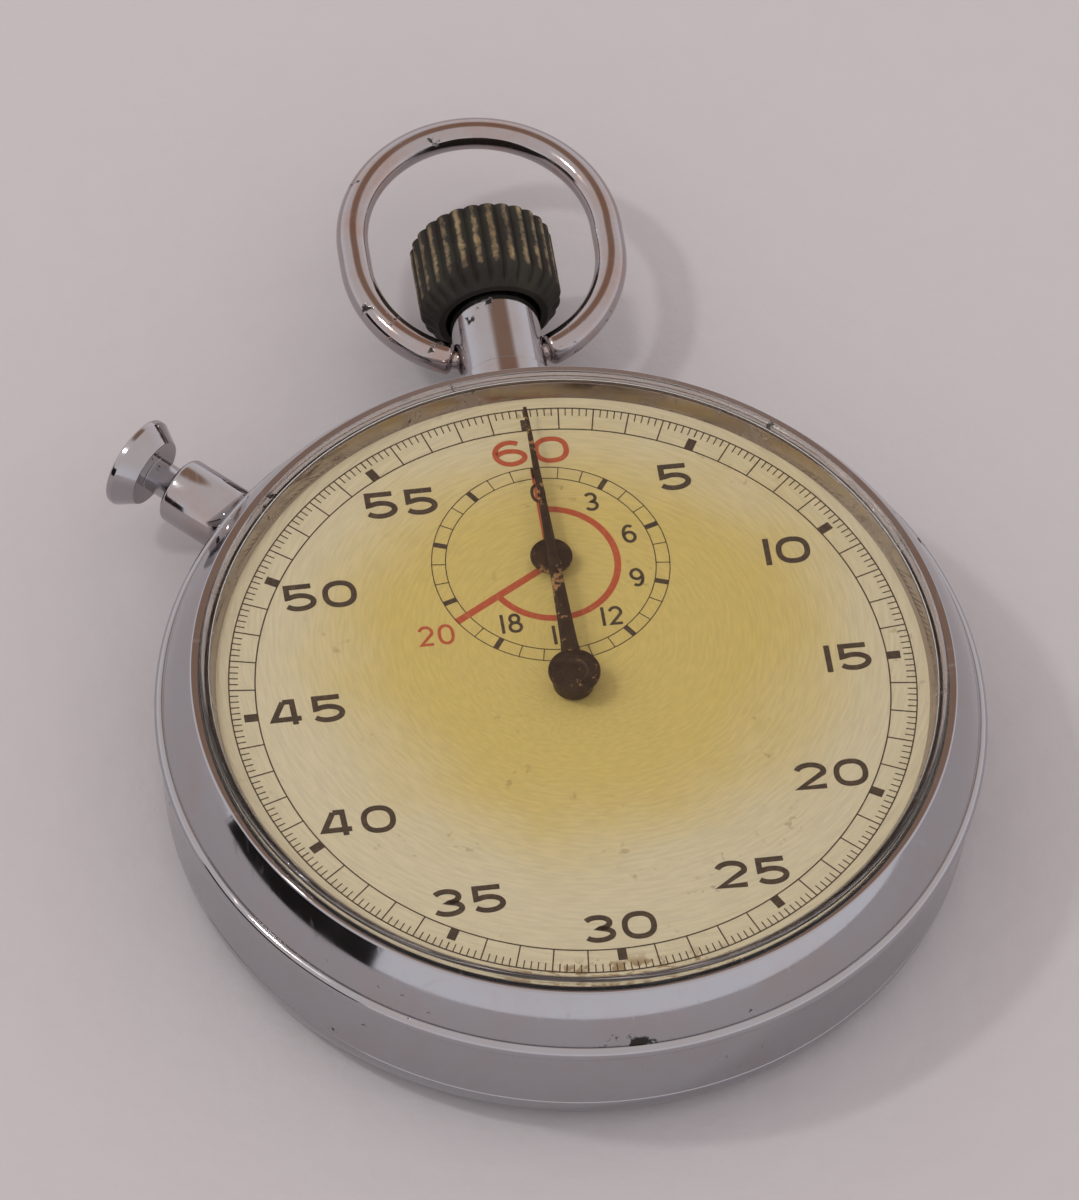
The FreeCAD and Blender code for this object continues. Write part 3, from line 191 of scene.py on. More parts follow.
def srgb(red, green, blue, alpha=1.0):
    # 0-255 display values to the linear colour that a shader reads
    linear = [c / 255 / 12.92 if c <= 10 else ((c / 255 + 0.055) / 1.055) ** 2.4 for c in (red, green, blue)]
    return (*linear, alpha)


def newGroup(name, inputs, outputs):
    group = bpy.data.node_groups.new(name, "ShaderNodeTree")
    for label, kind, value in inputs:
        socket = group.interface.new_socket(label, in_out="INPUT", socket_type=kind)
        if value is not None:
            socket.default_value = value
    for label, kind in outputs:
        group.interface.new_socket(label, in_out="OUTPUT", socket_type=kind)
    return group, group.nodes.new("NodeGroupInput"), group.nodes.new("NodeGroupOutput")


def useGroup(tree, group, inputs=None):
    return addNode(tree, "ShaderNodeGroup", inputs, node_tree=group)


def makeHandlingGroup():
    # fine hairline scratches in three directions, and soft smears where fingers wore the plate
    group, given, result = newGroup(
        "handling marks",
        [("Vector", "NodeSocketVector", None), ("Scratches", "NodeSocketFloat", 0.5),
         ("Smears", "NodeSocketFloat", 0.5)],
        [("Height", "NodeSocketFloat"), ("Roughness", "NodeSocketFloat")])
    total = None
    for turnBy, stretch in ((0.3, (2500, 90, 700)), (1.4, (120, 2300, 500)), (2.5, (1700, 150, 900))):
        mapping = addNode(group, "ShaderNodeMapping", {"Vector": given.outputs["Vector"],
                                                       "Rotation": (0.4, turnBy, turnBy), "Scale": stretch})
        noise = noiseAt(group, mapping.outputs[0], 1.0, 3.0)
        line = stepBetween(group, noise, 0.62, 0.74)
        total = line if total is None else calculate(group, "ADD", total, line)
    height = calculate(group, "MULTIPLY", total, given.outputs["Scratches"])
    smear = noiseAt(group, given.outputs["Vector"], 260.0, 5.0, 0.6)
    worn = stepBetween(group, smear, 0.4, 0.7)
    worn = calculate(group, "MULTIPLY", worn, given.outputs["Smears"])
    rough = calculate(group, "MULTIPLY_ADD", height, 0.25, worn)
    group.links.new(height, result.inputs["Height"])
    group.links.new(rough, result.inputs["Roughness"])
    return group


def makePitsGroup():
    # small ragged spots where the plating has gone through, more of them as Amount rises
    group, given, result = newGroup(
        "plating pits",
        [("Vector", "NodeSocketVector", None), ("Scale", "NodeSocketFloat", 900.0),
         ("Amount", "NodeSocketFloat", 0.1), ("Where", "NodeSocketFloat", 1.0)],
        [("Mask", "NodeSocketFloat")])
    spots = noiseAt(group, given.outputs["Vector"], given.outputs["Scale"], 4.0, 0.65)
    spread = noiseAt(group, given.outputs["Vector"], 240.0, 2.0)
    both = calculate(group, "MULTIPLY", spots, spread)
    both = calculate(group, "MULTIPLY_ADD", given.outputs["Amount"], given.outputs["Where"], both)
    group.links.new(stepBetween(group, both, 0.44, 0.48), result.inputs["Mask"])
    return group


def makeTurningGroup():
    # rings left by the lathe about an axis: noise read along the distance from that axis
    group, given, result = newGroup(
        "turning lines",
        [("Distance", "NodeSocketFloat", 0.0), ("Density", "NodeSocketFloat", 9000.0)],
        [("Height", "NodeSocketFloat")])
    across = calculate(group, "MULTIPLY", given.outputs["Distance"], given.outputs["Density"])
    spread = addNode(group, "ShaderNodeCombineXYZ", {"X": across})
    group.links.new(noiseAt(group, spread.outputs[0], 1.0, 2.0), result.inputs["Height"])
    return group


handlingGroup = makeHandlingGroup()
pitsGroup = makePitsGroup()
turningGroup = makeTurningGroup()


def objectPlace(tree):
    return addNode(tree, "ShaderNodeTexCoord").outputs["Object"]


def distanceFrom(tree, place, centre, keep):
    # distance of each point from a line through centre; keep drops the direction of the line
    shifted = addNode(tree, "ShaderNodeVectorMath", {0: place, 1: centre}, operation="SUBTRACT")
    flat = addNode(tree, "ShaderNodeVectorMath", {0: shifted.outputs[0], 1: keep}, operation="MULTIPLY")
    return addNode(tree, "ShaderNodeVectorMath", {0: flat.outputs[0]}, operation="LENGTH").outputs["Value"]


def bumped(tree, surface, height, distance, strength=1.0):
    bump = addNode(tree, "ShaderNodeBump", {"Height": height, "Distance": distance, "Strength": strength})
    tree.links.new(bump.outputs[0], surface.inputs["Normal"])


# the brown plate colour serves both worn plating and a painted reflection
chromeLook = {
    "plate": srgb(176, 176, 180), "wearAndReflectionBrown": srgb(176, 132, 108), "pit": srgb(34, 28, 24),
    "scratchDepth": 0.0000012, "smoothness": 0.07,
}


def makeChrome(name, paintedReflectionBrown=0.0, patchy=0.12, pits=0.03, pitScale=900.0, where=None, scratches=0.5,
               smears=0.10):
    material, tree, surface = newMaterial(name)
    place = objectPlace(tree)
    marks = useGroup(tree, handlingGroup, {"Vector": place, "Scratches": scratches, "Smears": smears})
    spots = {"Vector": place, "Scale": pitScale, "Amount": pits}
    if where is not None:
        spots["Where"] = where(tree, place)
    pit = useGroup(tree, pitsGroup, spots).outputs["Mask"]
    # the patchy share is worn plating; the even brown share is a painted reflection, standing in for the brown
    # overhead and the yellow dial that these parts mirror
    wearAndReflectionTint = stepBetween(tree, noiseAt(tree, place, 300.0, 6.0, 0.65), 0.42, 0.75)
    wearAndReflectionTint = calculate(tree, "MULTIPLY_ADD", wearAndReflectionTint, patchy, paintedReflectionBrown, clamp=True)
    plate = mixColour(tree, wearAndReflectionTint, chromeLook["plate"], chromeLook["wearAndReflectionBrown"])
    tree.links.new(mixColour(tree, pit, plate, chromeLook["pit"]), surface.inputs["Base Color"])
    rough = calculate(tree, "ADD", marks.outputs["Roughness"], chromeLook["smoothness"])
    tree.links.new(calculate(tree, "MULTIPLY_ADD", pit, 0.5, rough), surface.inputs["Roughness"])
    tree.links.new(stepBetween(tree, pit, 0.0, 1.0, 1.0, 0.25), surface.inputs["Metallic"])
    depth = calculate(tree, "MULTIPLY_ADD", pit, -12.0, marks.outputs["Height"])
    bumped(tree, surface, depth, chromeLook["scratchDepth"])
    return material


def nearFoot(tree, place):
    # pits gather low on the bezel's flank, on the side away from the crown
    parts = addNode(tree, "ShaderNodeSeparateXYZ", {0: place})
    front = stepBetween(tree, parts.outputs["Y"], -0.0215, -0.0238)
    low = stepBetween(tree, parts.outputs["Z"], 0.0108, 0.0096)
    left = stepBetween(tree, parts.outputs["X"], -0.0115, -0.0080)
    right = stepBetween(tree, parts.outputs["X"], 0.0040, 0.0000)
    inFront = calculate(tree, "MULTIPLY", front, low)
    return calculate(tree, "MULTIPLY", inFront, calculate(tree, "MULTIPLY", left, right))


def makeCrystal():
    material, tree, surface = newMaterial("crystal")
    for socket, value in (("Base Color", (0.97, 0.97, 0.94, 1)), ("Roughness", 0.03), ("IOR", 1.49),
                          ("Transmission Weight", 1.0)):
        surface.inputs[socket].default_value = value
    place = objectPlace(tree)
    marks = useGroup(tree, handlingGroup, {"Vector": place, "Scratches": 0.25, "Smears": 0.02})
    bumped(tree, surface, marks.outputs["Height"], 0.0000006)
    through = addNode(tree, "ShaderNodeBsdfTransparent", {"Color": (0.96, 0.96, 0.94, 1)})
    rays = addNode(tree, "ShaderNodeLightPath")
    mix = addNode(tree, "ShaderNodeMixShader", {0: rays.outputs["Is Shadow Ray"], 1: surface.outputs[0],
                                                2: through.outputs[0]})
    tree.links.new(mix.outputs[0], tree.nodes["Material Output"].inputs["Surface"])
    return material


dialLook = {
    "middle": srgb(209, 187, 111), "rim": srgb(215, 205, 177), "stain": srgb(140, 108, 64),
    "brushDepth": 0.0000025,
}


def makeDialPaint():
    material, tree, surface = newMaterial("dial_face")
    place = objectPlace(tree)
    fromCentre = distanceFrom(tree, place, (0.001, 0.0035, 0), (1, 1, 0))
    clouds = noiseAt(tree, place, 90.0, 4.0, 0.6)
    wander = calculate(tree, "MULTIPLY_ADD", clouds, 0.008, fromCentre)
    paper = mixColour(tree, stepBetween(tree, wander, 0.0135, 0.0240), dialLook["middle"], dialLook["rim"])
    # short strokes of the graining brush, bent about the middle
    parts = addNode(tree, "ShaderNodeSeparateXYZ", {0: place})
    angle = calculate(tree, "ARCTAN2", parts.outputs["Y"], parts.outputs["X"])
    twisted = addNode(tree, "ShaderNodeCombineXYZ", {
        "X": calculate(tree, "MULTIPLY", fromCentre, 5200.0), "Y": calculate(tree, "MULTIPLY", angle, 9.0)})
    grain = noiseAt(tree, twisted.outputs[0], 1.0, 3.0)
    fine = stepBetween(tree, grain, 0.3, 0.7, 0.93, 1.05)
    grey = addNode(tree, "ShaderNodeCombineColor", {0: fine, 1: fine, 2: fine}).outputs[0]
    grained = mixColour(tree, 1.0, paper, grey, "MULTIPLY")
    freckles = noiseAt(tree, place, 1500.0, 3.0)
    islands = noiseAt(tree, place, 160.0, 1.0)
    stain = calculate(tree, "MULTIPLY", stepBetween(tree, freckles, 0.60, 0.72),
                      stepBetween(tree, islands, 0.57, 0.66))
    lowEdge = calculate(tree, "MULTIPLY", stepBetween(tree, parts.outputs["Y"], -0.0195, -0.0207),
                        stepBetween(tree, freckles, 0.50, 0.60))
    stain = calculate(tree, "MAXIMUM", calculate(tree, "MULTIPLY", stain, 0.45),
                      calculate(tree, "MULTIPLY", lowEdge, 0.8))
    tree.links.new(mixColour(tree, stain, grained, dialLook["stain"]), surface.inputs["Base Color"])
    surface.inputs["Roughness"].default_value = 0.55
    bumped(tree, surface, grain, dialLook["brushDepth"])
    return material


def makeInk(name, colour, pale):
    # printed ink: matt, a little thin in places so that the dial shows through
    material, tree, surface = newMaterial(name)
    thin = stepBetween(tree, noiseAt(tree, objectPlace(tree), 2600.0, 3.0), 0.45, 0.75, 0.0, 0.45)
    tree.links.new(mixColour(tree, thin, colour, pale), surface.inputs["Base Color"])
    surface.inputs["Roughness"].default_value = 0.6
    return material


handLook = {
    "hub": 1.6, "reach": 20.4, "height": corner("sweep_hand", True)[2],
    "blue": srgb(24, 19, 15), "paintedReflectionBrown": srgb(58, 43, 30), "speck": srgb(168, 128, 84),
}


def makeDarkHand():
    # blued steel gone brown, with bright specks where the oxide has come off
    material, tree, surface = newMaterial("dark_hand")
    place = objectPlace(tree)
    noise = noiseAt(tree, place, 1400.0, 6.0, 0.7)
    dark = mixColour(tree, stepBetween(tree, noise, 0.35, 0.62), handLook["blue"], handLook["paintedReflectionBrown"])
    speck = useGroup(tree, pitsGroup, {"Vector": place, "Scale": 2400.0, "Amount": 0.13}).outputs["Mask"]
    tree.links.new(mixColour(tree, speck, dark, handLook["speck"]), surface.inputs["Base Color"])
    tree.links.new(stepBetween(tree, noise, 0.3, 0.7, 0.32, 0.6), surface.inputs["Roughness"])
    surface.inputs["Metallic"].default_value = 0.75
    bumped(tree, surface, noise, 0.00001)
    return material


crownLook = {"brass": srgb(172, 152, 116), "grime": srgb(34, 28, 21), "green": srgb(44, 43, 33)}


def makeTarnishedCrown(axisHeight, outerRadius, grooveDepth):
    # grime in the flutes and brass on the ridges, told apart by the distance from the crown's axis
    material, tree, surface = newMaterial("worn_crown")
    place = objectPlace(tree)
    fromAxis = distanceFrom(tree, place, (0, 0, axisHeight), (1, 0, 1))
    noise = noiseAt(tree, place, 1300.0, 6.0, 0.7)
    ragged = calculate(tree, "MULTIPLY_ADD", noise, grooveDepth * 0.9, fromAxis)
    ridge = stepBetween(tree, ragged, outerRadius + grooveDepth * 0.26, outerRadius + grooveDepth * 0.60)
    large = noiseAt(tree, place, 420.0, 3.0)
    grime = mixColour(tree, stepBetween(tree, large, 0.42, 0.62), crownLook["grime"], crownLook["green"])
    bare = calculate(tree, "MULTIPLY", ridge, stepBetween(tree, large, 0.3, 0.6, 0.45, 1.0))
    tree.links.new(mixColour(tree, bare, grime, crownLook["brass"]), surface.inputs["Base Color"])
    tree.links.new(stepBetween(tree, ridge, 0.0, 1.0, 0.15, 0.9), surface.inputs["Metallic"])
    tree.links.new(stepBetween(tree, ridge, 0.0, 1.0, 0.7, 0.36), surface.inputs["Roughness"])
    bumped(tree, surface, noise, 0.00004)
    return material


def makeWorkshopMetal(name, colour, darker, roughness, centre=(0, 0, 0), density=7000.0):
    # plates and wheels of the movement: metal with lathe rings and a faint cloudiness
    material, tree, surface = newMaterial(name)
    place = objectPlace(tree)
    lines = useGroup(tree, turningGroup, {"Distance": distanceFrom(tree, place, centre, (1, 1, 0)),
                                          "Density": density}).outputs["Height"]
    clouds = stepBetween(tree, noiseAt(tree, place, 350.0, 4.0), 0.35, 0.7)
    tree.links.new(mixColour(tree, clouds, colour, darker), surface.inputs["Base Color"])
    rough = stepBetween(tree, lines, 0.3, 0.7, roughness, roughness + 0.12)
    tree.links.new(rough, surface.inputs["Roughness"])
    surface.inputs["Metallic"].default_value = 1.0
    bumped(tree, surface, lines, 0.0000015)
    return material


caseSizes = {
    "wall": 24.9, "wallTop": 8.15, "seam": 3.0, "beadRadius": 0.5, "beadCentre": 25.0, "bore": 23.3,
    "ledge": 22.6, "ledgeTop": 5.0, "spigot": 23.6, "neckRing": 24.0,
}
dialTop = corner("dial", True)[2]
crystalTop = corner("crystal", True)[2]
stemHeight = (corner("winding_stem", True)[2] + corner("winding_stem", False)[2]) / 2


def arcPoints(cx, cy, rx, ry, first, last, count=22):
    # points on an arc of an ellipse: x = cx + rx * cos(angle), y = cy + ry * sin(angle)
    angle = np.radians(np.linspace(first, last, count))
    return np.stack([cx + rx * np.cos(angle), cy + ry * np.sin(angle)], -1)


def makeCaseMiddle():
    s = caseSizes
    beadHeight = s["wallTop"] + s["beadRadius"]
    inside = roundedOutline([
        (s["neckRing"], beadHeight + s["beadRadius"], 0), (s["neckRing"], 10.7, 0.05),
        (s["bore"], 10.7, 0.05), (s["bore"], s["ledgeTop"], 0), (s["ledge"], s["ledgeTop"], 0.05),
        (s["ledge"], s["seam"] - 0.8, 0.05), (s["spigot"], s["seam"] - 0.8, 0.05),
        (s["spigot"], s["seam"], 0), (s["wall"], s["seam"], 0.08),
        (s["wall"], s["wallTop"] - 0.06, 0.05), (s["beadCentre"] - 0.2, s["wallTop"] - 0.02, 0)], steps=5)
    bead = arcPoints(s["beadCentre"], beadHeight, s["beadRadius"], s["beadRadius"], -88, 88)
    return turned("case_middle_plate", np.concatenate([inside, bead]), segments=360)


def makeBackCover():
    # outside, a quarter of a squashed circle joins the flat to the seam
    s = caseSizes
    flat = s["wall"] - 3.2
    across, up = s["wall"] - 0.02 - flat, s["seam"]
    t = np.radians(np.linspace(-90, 0, 28))
    outer = np.stack([flat + across * np.cos(t) ** 0.86, up + up * np.sin(t)], -1)
    edge = s["spigot"] + 0.03
    inner = np.array([(edge, s["seam"]), (edge, 2.17), (23.3, 1.65), (22.3, 0.75)])
    middle = np.array([[0, 0], [8, 0], [16, 0], [flat - 0.4, 0]])
    under = np.array([[21.2, 0.7], [10, 0.7], [0, 0.7]])
    outline = np.concatenate([middle, outer, inner, under])
    return turned("back_cover_plate", outline, segments=300, onAxis=True)


def makeBezel():
    # between the foot's arc and the lip's arc the flank stands out by a sine of its length
    lip = roundedOutline([
        (24.03, 9.17, 0.03), (25.07, 9.17, 0.06), (23.40, 12.62, 0.12), (22.87, 12.54, 0.05),
        (22.87, 10.72, 0.03), (24.03, 10.72, 0.03)], steps=6)
    foot = np.argmax(lip[:, 0] - 0.02 * lip[:, 1])
    top = np.argmax(lip[:, 1])
    bulge = 0.20
    along = np.linspace(0, 1, 24)[1:-1, None]
    start, end = lip[foot], lip[top]
    normal = np.array([end[1] - start[1], start[0] - end[0]])
    normal /= np.linalg.norm(normal)
    flank = start + (end - start) * along + normal * bulge * np.sin(math.pi * along)
    outline = np.concatenate([lip[:foot + 1], flank, lip[top:]])
    return turned("bezel_plate", outline, segments=420)


crystalSizes = {"rim": 22.84, "foot": 11.6, "shoulder": 13.05, "thick": 0.85, "wall": 0.54}


def makeCrystalShell():
    # inside and outside, the dome is part of a ball and meets the wall in a rounded shoulder
    rim, foot, shoulder, thick, wall = crystalSizes.values()
    rise = crystalTop - shoulder
    ball = (rim ** 2 + rise ** 2) / (2 * rise)
    radius = np.linspace(0, rim - 0.5, 40)
    dome = np.stack([radius, crystalTop - ball + np.sqrt(ball ** 2 - radius ** 2)], -1)
    edge = roundedOutline([(dome[-1, 0], dome[-1, 1], 0), (rim, shoulder - 0.02, 0.45), (rim, foot, 0.04),
                           (rim - wall, foot, 0.04), (rim - wall, shoulder - 0.5, 0.2),
                           (rim - wall - 1, shoulder - 0.42, 0)], steps=9)
    innerTop = crystalTop - thick
    low = shoulder - 0.48
    innerRise = innerTop - low
    innerBall = ((rim - wall) ** 2 + innerRise ** 2) / (2 * innerRise)
    innerRadius = np.linspace(rim - wall - 1.2, 0, 40)
    inner = np.stack([innerRadius, innerTop - innerBall + np.sqrt(innerBall ** 2 - innerRadius ** 2)], -1)
    return turned("crystal_clear", np.concatenate([dome, edge[1:-1], inner]), segments=300, onAxis=True)


def makeRehaut():
    outline = roundedOutline([
        (21.75, dialTop, 0.02), (22.25, 12.1, 0.03), (22.29, 12.1, 0), (22.29, 11.58, 0),
        (22.85, 11.58, 0.02), (22.85, dialTop, 0)], steps=4)
    return turned("rehaut_plate", outline, segments=300)


pendantSizes = {"foot": 2.9, "radius": 2.8, "footEnd": 26.9, "start": 23.7, "end": 32.6, "bore": 1.65}
bowSizes = {
    "wire": 1.0, "radius": 8.03, "straight": 0.7, "hinge": 29.1, "tilt": 3.0, "pin": 0.6, "pinEnd": 1.9,
    "sides": 40,
}
crownSizes = {
    "start": 31.9, "end": 37.8, "radius": 4.48, "lip": 3.45, "flutes": 27, "depth": 0.36,
    "cavity": 3.0, "cavityDepth": 2.6,
}


def makeNeck():
    p = pendantSizes
    outline = roundedOutline([
        (0.63, p["start"], 0), (p["foot"], p["start"], 0.05), (p["foot"], p["footEnd"], 0.05),
        (p["radius"], p["footEnd"] + 0.08, 0.03), (p["radius"], p["end"], 0.3), (p["bore"], p["end"], 0.05),
        (p["bore"], 24.6, 0), (0.63, 24.6, 0)])
    return turned("pendant_neck_plate", outline, alongY, (0, 0, stemHeight), segments=160)


def makeCrown():
    # radius = outline radius - depth * (1 - |sin|) flute wave, faded out at both rounded ends
    c = crownSizes
    outline = roundedOutline([
        (0, c["start"] + c["cavityDepth"], 0), (c["cavity"], c["start"] + c["cavityDepth"], 0.05),
        (c["cavity"], c["start"], 0.05), (c["lip"], c["start"], 0.12),
        (c["radius"], c["start"] + 1.15, 0.9), (c["radius"], c["end"], 0.22), (0, c["end"], 0)], steps=12)
    rows = [outline[0]]
    for a, b in zip(outline, outline[1:]):
        pieces = max(1, int(np.linalg.norm(b - a) / 0.35))
        rows += [a + (b - a) * k / pieces for k in range(1, pieces + 1)]
    outline = np.array(rows)
    segments = c["flutes"] * 16
    angle = np.linspace(0, 2 * math.pi, segments, endpoint=False)
    body = outline[1:-1]
    radius, height = body[:, 0][:, None], body[:, 1][:, None]
    wave = np.abs(np.sin(angle * c["flutes"] / 2))[None] ** 0.75
    atLip = (body[:, 1] <= c["start"] + 0.001) & (body[:, 0] > c["lip"] - 0.3)
    outside = (np.arange(len(body)) > np.argmax(atLip))[:, None]
    share = np.clip((radius - c["lip"] - 0.12) / 0.45, 0, 1) * outside
    end = np.clip((c["end"] + 0.05 - height) / 0.3, 0, 1)
    fluted = radius - c["depth"] * (1 - wave) * share * (0.35 + 0.65 * end)
    points = np.stack([fluted * np.cos(angle), fluted * np.sin(angle), height + 0 * angle], -1).reshape(-1, 3)
    faces = gridFaces(len(body), segments, False, True)
    j = np.arange(segments)
    ends = np.array([[0, 0, outline[0, 1]], [0, 0, outline[-1, 1]]])
    last = (len(body) - 1) * segments
    first = np.stack([(j + 1) % segments, j, np.full(segments, len(points))], -1)
    second = np.stack([last + j, last + (j + 1) % segments, np.full(segments, len(points) + 1)], -1)
    points = np.concatenate([points, ends]) @ np.array(alongY).T + np.array((0, 0, stemHeight))
    faces = np.concatenate([faces[:, [0, 1, 2]], faces[:, [0, 2, 3]], first, second])
    return outward(makePiece("crown_fluted", points, faces))


def makeBow():
    # wire carried round two half circles joined by short straights, then turned in to the neck:
    # point = centre + (cos(angle) * normal + sin(angle) * binormal) * wire radius
    b = bowSizes
    gap = pendantSizes["radius"] + 0.2
    centre = b["hinge"] + math.sqrt(b["radius"] ** 2 - gap ** 2) + b["straight"]
    swing = math.degrees(math.asin(gap / b["radius"]))
    lower = arcPoints(0, centre - b["straight"], b["radius"], b["radius"], -90 + swing, 0, 70)
    upper = arcPoints(0, centre + b["straight"], b["radius"], b["radius"], 0, 180, 160)
    path = np.concatenate([lower, upper, lower[::-1] * (-1, 1)])
    keep = np.concatenate([[True], np.linalg.norm(np.diff(path, axis=0), axis=1) > 1e-6])
    path = path[keep]
    tangent = np.gradient(path, axis=0)
    tangent /= np.linalg.norm(tangent, axis=1)[:, None]
    centres = np.column_stack([path, np.zeros(len(path))])
    normals = np.column_stack([-tangent[:, 1], tangent[:, 0], np.zeros(len(path))])
    binormals = np.tile([0.0, 0.0, 1.0], (len(path), 1))
    sides = b["sides"]
    angle = np.linspace(0, 2 * math.pi, sides, endpoint=False)
    section = np.stack([np.cos(angle), np.sin(angle)], -1) * b["wire"]
    # the ends narrow to the pins in three short steps
    scale = np.ones(len(path))
    for k, share in enumerate((0.80, 0.95, 0.99)):
        scale[k] = scale[-1 - k] = share
    around = section[None, :, :1] * normals[:, None] + section[None, :, 1:] * binormals[:, None]
    rings = centres[:, None] + around * scale[:, None, None]
    j = np.arange(sides)
    ahead = (j + 1) % sides
    last, start = (len(path) - 1) * sides, len(path) * sides
    points = [rings.reshape(-1, 3), np.array([centres[0], centres[-1]])]
    faces = [gridFaces(len(path), sides, False, True)]
    triangles = [np.stack([j, ahead, np.full(sides, start)], -1),
                 np.stack([last + ahead, last + j, np.full(sides, start + 1)], -1)]
    start += 2
    pinRing = np.stack([0 * angle, np.cos(angle) * b["pin"], np.sin(angle) * b["pin"]], -1)
    for side in (1, -1):
        inner = np.array([side * b["pinEnd"], b["hinge"], 0.0])
        outer = np.array([side * (gap + 0.5), b["hinge"], 0.0])
        points += [inner + pinRing, outer + pinRing, np.array([inner, outer])]
        faces.append(gridFaces(2, sides, False, True, start))
        far, tip = start + sides, start + 2 * sides
        triangles += [np.stack([start + j, start + ahead, np.full(sides, tip)], -1),
                      np.stack([far + ahead, far + j, np.full(sides, tip + 1)], -1)]
        start += 2 * sides + 2
    quads = np.concatenate(faces)
    everything = np.concatenate([quads[:, [0, 1, 2]], quads[:, [0, 2, 3]]] + triangles)
    tilt = Matrix.Rotation(math.radians(b["tilt"]), 3, "X")
    hinge = np.array([0, b["hinge"], 0])
    placed = (np.concatenate(points) - hinge) @ np.array(tilt).T + hinge + np.array([0, 0, stemHeight])
    piece = makePiece("bow_wire", placed, everything)
    recalculate(piece)
    return piece


def recalculate(piece):
    work = bmesh.new()
    work.from_mesh(piece.data)
    bmesh.ops.recalc_face_normals(work, faces=work.faces)
    work.to_mesh(piece.data)
    work.free()


pusherTurn = Matrix.Rotation(math.radians(45), 3, "Z") @ alongY
pusherSizes = {
    "tubeStart": 23.7, "tubeEnd": 30.15, "tube": 2.15, "chamber": 1.6, "guide": 28.6, "bore": 1.13,
    "tailEnd": 19.7, "tail": 0.7, "collarStart": 27.9, "collarEnd": 28.57, "collar": 1.5, "shaft": 1.1,
    "headStart": 32.0, "neck": 2.2, "head": 2.95, "end": 33.8,
}


def makePusherTube():
    p = pusherSizes
    outline = roundedOutline([
        (p["chamber"], p["tubeStart"], 0), (p["tube"], p["tubeStart"], 0), (p["tube"], p["tubeEnd"], 0.35),
        (p["bore"], p["tubeEnd"], 0.08), (p["bore"], p["guide"], 0), (p["chamber"], p["guide"], 0)], steps=9)
    return turned("pusher_tube_plate", outline, pusherTurn, (0, 0, stemHeight), segments=128)


def makePusher():
    p = pusherSizes
    outline = roundedOutline([
        (0, p["tailEnd"], 0), (p["tail"], p["tailEnd"], 0.05), (p["tail"], p["collarStart"], 0),
        (p["collar"], p["collarStart"], 0.05), (p["collar"], p["collarEnd"], 0.05),
        (p["shaft"], p["collarEnd"], 0), (p["shaft"], p["headStart"], 0.05),
        (p["neck"], p["headStart"], 0.08), (p["head"], 33.2, 0.12), (p["head"], 33.6, 0.16),
        (1.7, 33.78, 0.8), (0, p["end"], 0)], steps=8)
    return turned("side_pusher_plate", outline, pusherTurn, (0, 0, stemHeight), segments=128, onAxis=True)


printLook = {"thickness": 0.012, "line": 0.085}


def roundBox(cx, cy, rx, ry, power=2.35, count=48):
    # superellipse: |x / rx| ^ power + |y / ry| ^ power = 1
    angle = np.linspace(0, 2 * math.pi, count, endpoint=False)
    c, s = np.cos(angle), np.sin(angle)
    x = cx + rx * np.sign(c) * np.abs(c) ** (2 / power)
    y = cy + ry * np.sign(s) * np.abs(s) ** (2 / power)
    return np.stack([x, y], -1)


# centre lines of the numerals in a box one unit wide and high: (path, closed)
numeralPaths = {
    "0": [(roundBox(0, 0, 0.5, 0.5), True)],
    "1": [(np.array([(0, 0.5), (0, -0.5)]), False)],
    "2": [(np.concatenate([arcPoints(0, 0.2, 0.47, 0.3, 165, -20), [(-0.42, -0.5), (0.5, -0.5)]]), False)],
    "3": [(np.concatenate([arcPoints(-0.02, 0.25, 0.43, 0.25, 150, -80),
                           arcPoints(0, -0.25, 0.47, 0.25, 85, -155)]), False)],
    "4": [(np.array([(-0.12, 0.48), (0.20, 0.48), (0.24, -0.56)]), False),
          (np.array([(-0.12, 0.48), (-0.5, -0.30), (0.46, -0.30)]), False)],
    "5": [(np.concatenate([[(0.45, 0.5), (-0.42, 0.5), (-0.42, 0.02)],
                           arcPoints(-0.02, -0.2, 0.5, 0.30, 128, -150)]), False)],
    "6": [(np.concatenate([arcPoints(0.02, 0.0, 0.5, 0.5, 55, 250),
                           arcPoints(0.0, -0.2, 0.48, 0.3, -90, 150)]), False)],
    "8": [(roundBox(0, 0.27, 0.38, 0.24, 2.1), True), (roundBox(0, -0.25, 0.48, 0.27, 2.1), True)],
}
numeralPaths["9"] = [(path * (-1, -1), closed) for path, closed in numeralPaths["6"]]


def strokeSolid(path, closed, width, base, height):
    # a flat bar carried along the path: its edges stand half a width out along the mitred normals
    ahead = np.roll(path, -1, 0) - path
    back = path - np.roll(path, 1, 0)
    if not closed:
        ahead[-1], back[0] = back[-1], ahead[0]
    ahead = ahead / np.linalg.norm(ahead, axis=1)[:, None]
    back = back / np.linalg.norm(back, axis=1)[:, None]
    mean = ahead + back
    mean /= np.linalg.norm(mean, axis=1)[:, None]
    stretch = 1 / np.clip(np.einsum("ij,ij->i", mean, ahead), 0.45, 1)
    normal = np.stack([-mean[:, 1], mean[:, 0]], -1) * (width / 2 * stretch)[:, None]
    left, right = path + normal, path - normal
    low, high = np.full(len(path), base), np.full(len(path), base + height)
    rings = np.stack([np.column_stack([left, low]), np.column_stack([left, high]),
                      np.column_stack([right, high]), np.column_stack([right, low])], 1)
    faces = gridFaces(len(path), 4, closed, True)
    if not closed:
        last = 4 * (len(path) - 1)
        faces = np.concatenate([faces, [[3, 2, 1, 0]], [[last, last + 1, last + 2, last + 3]]])
    return rings.reshape(-1, 3), faces


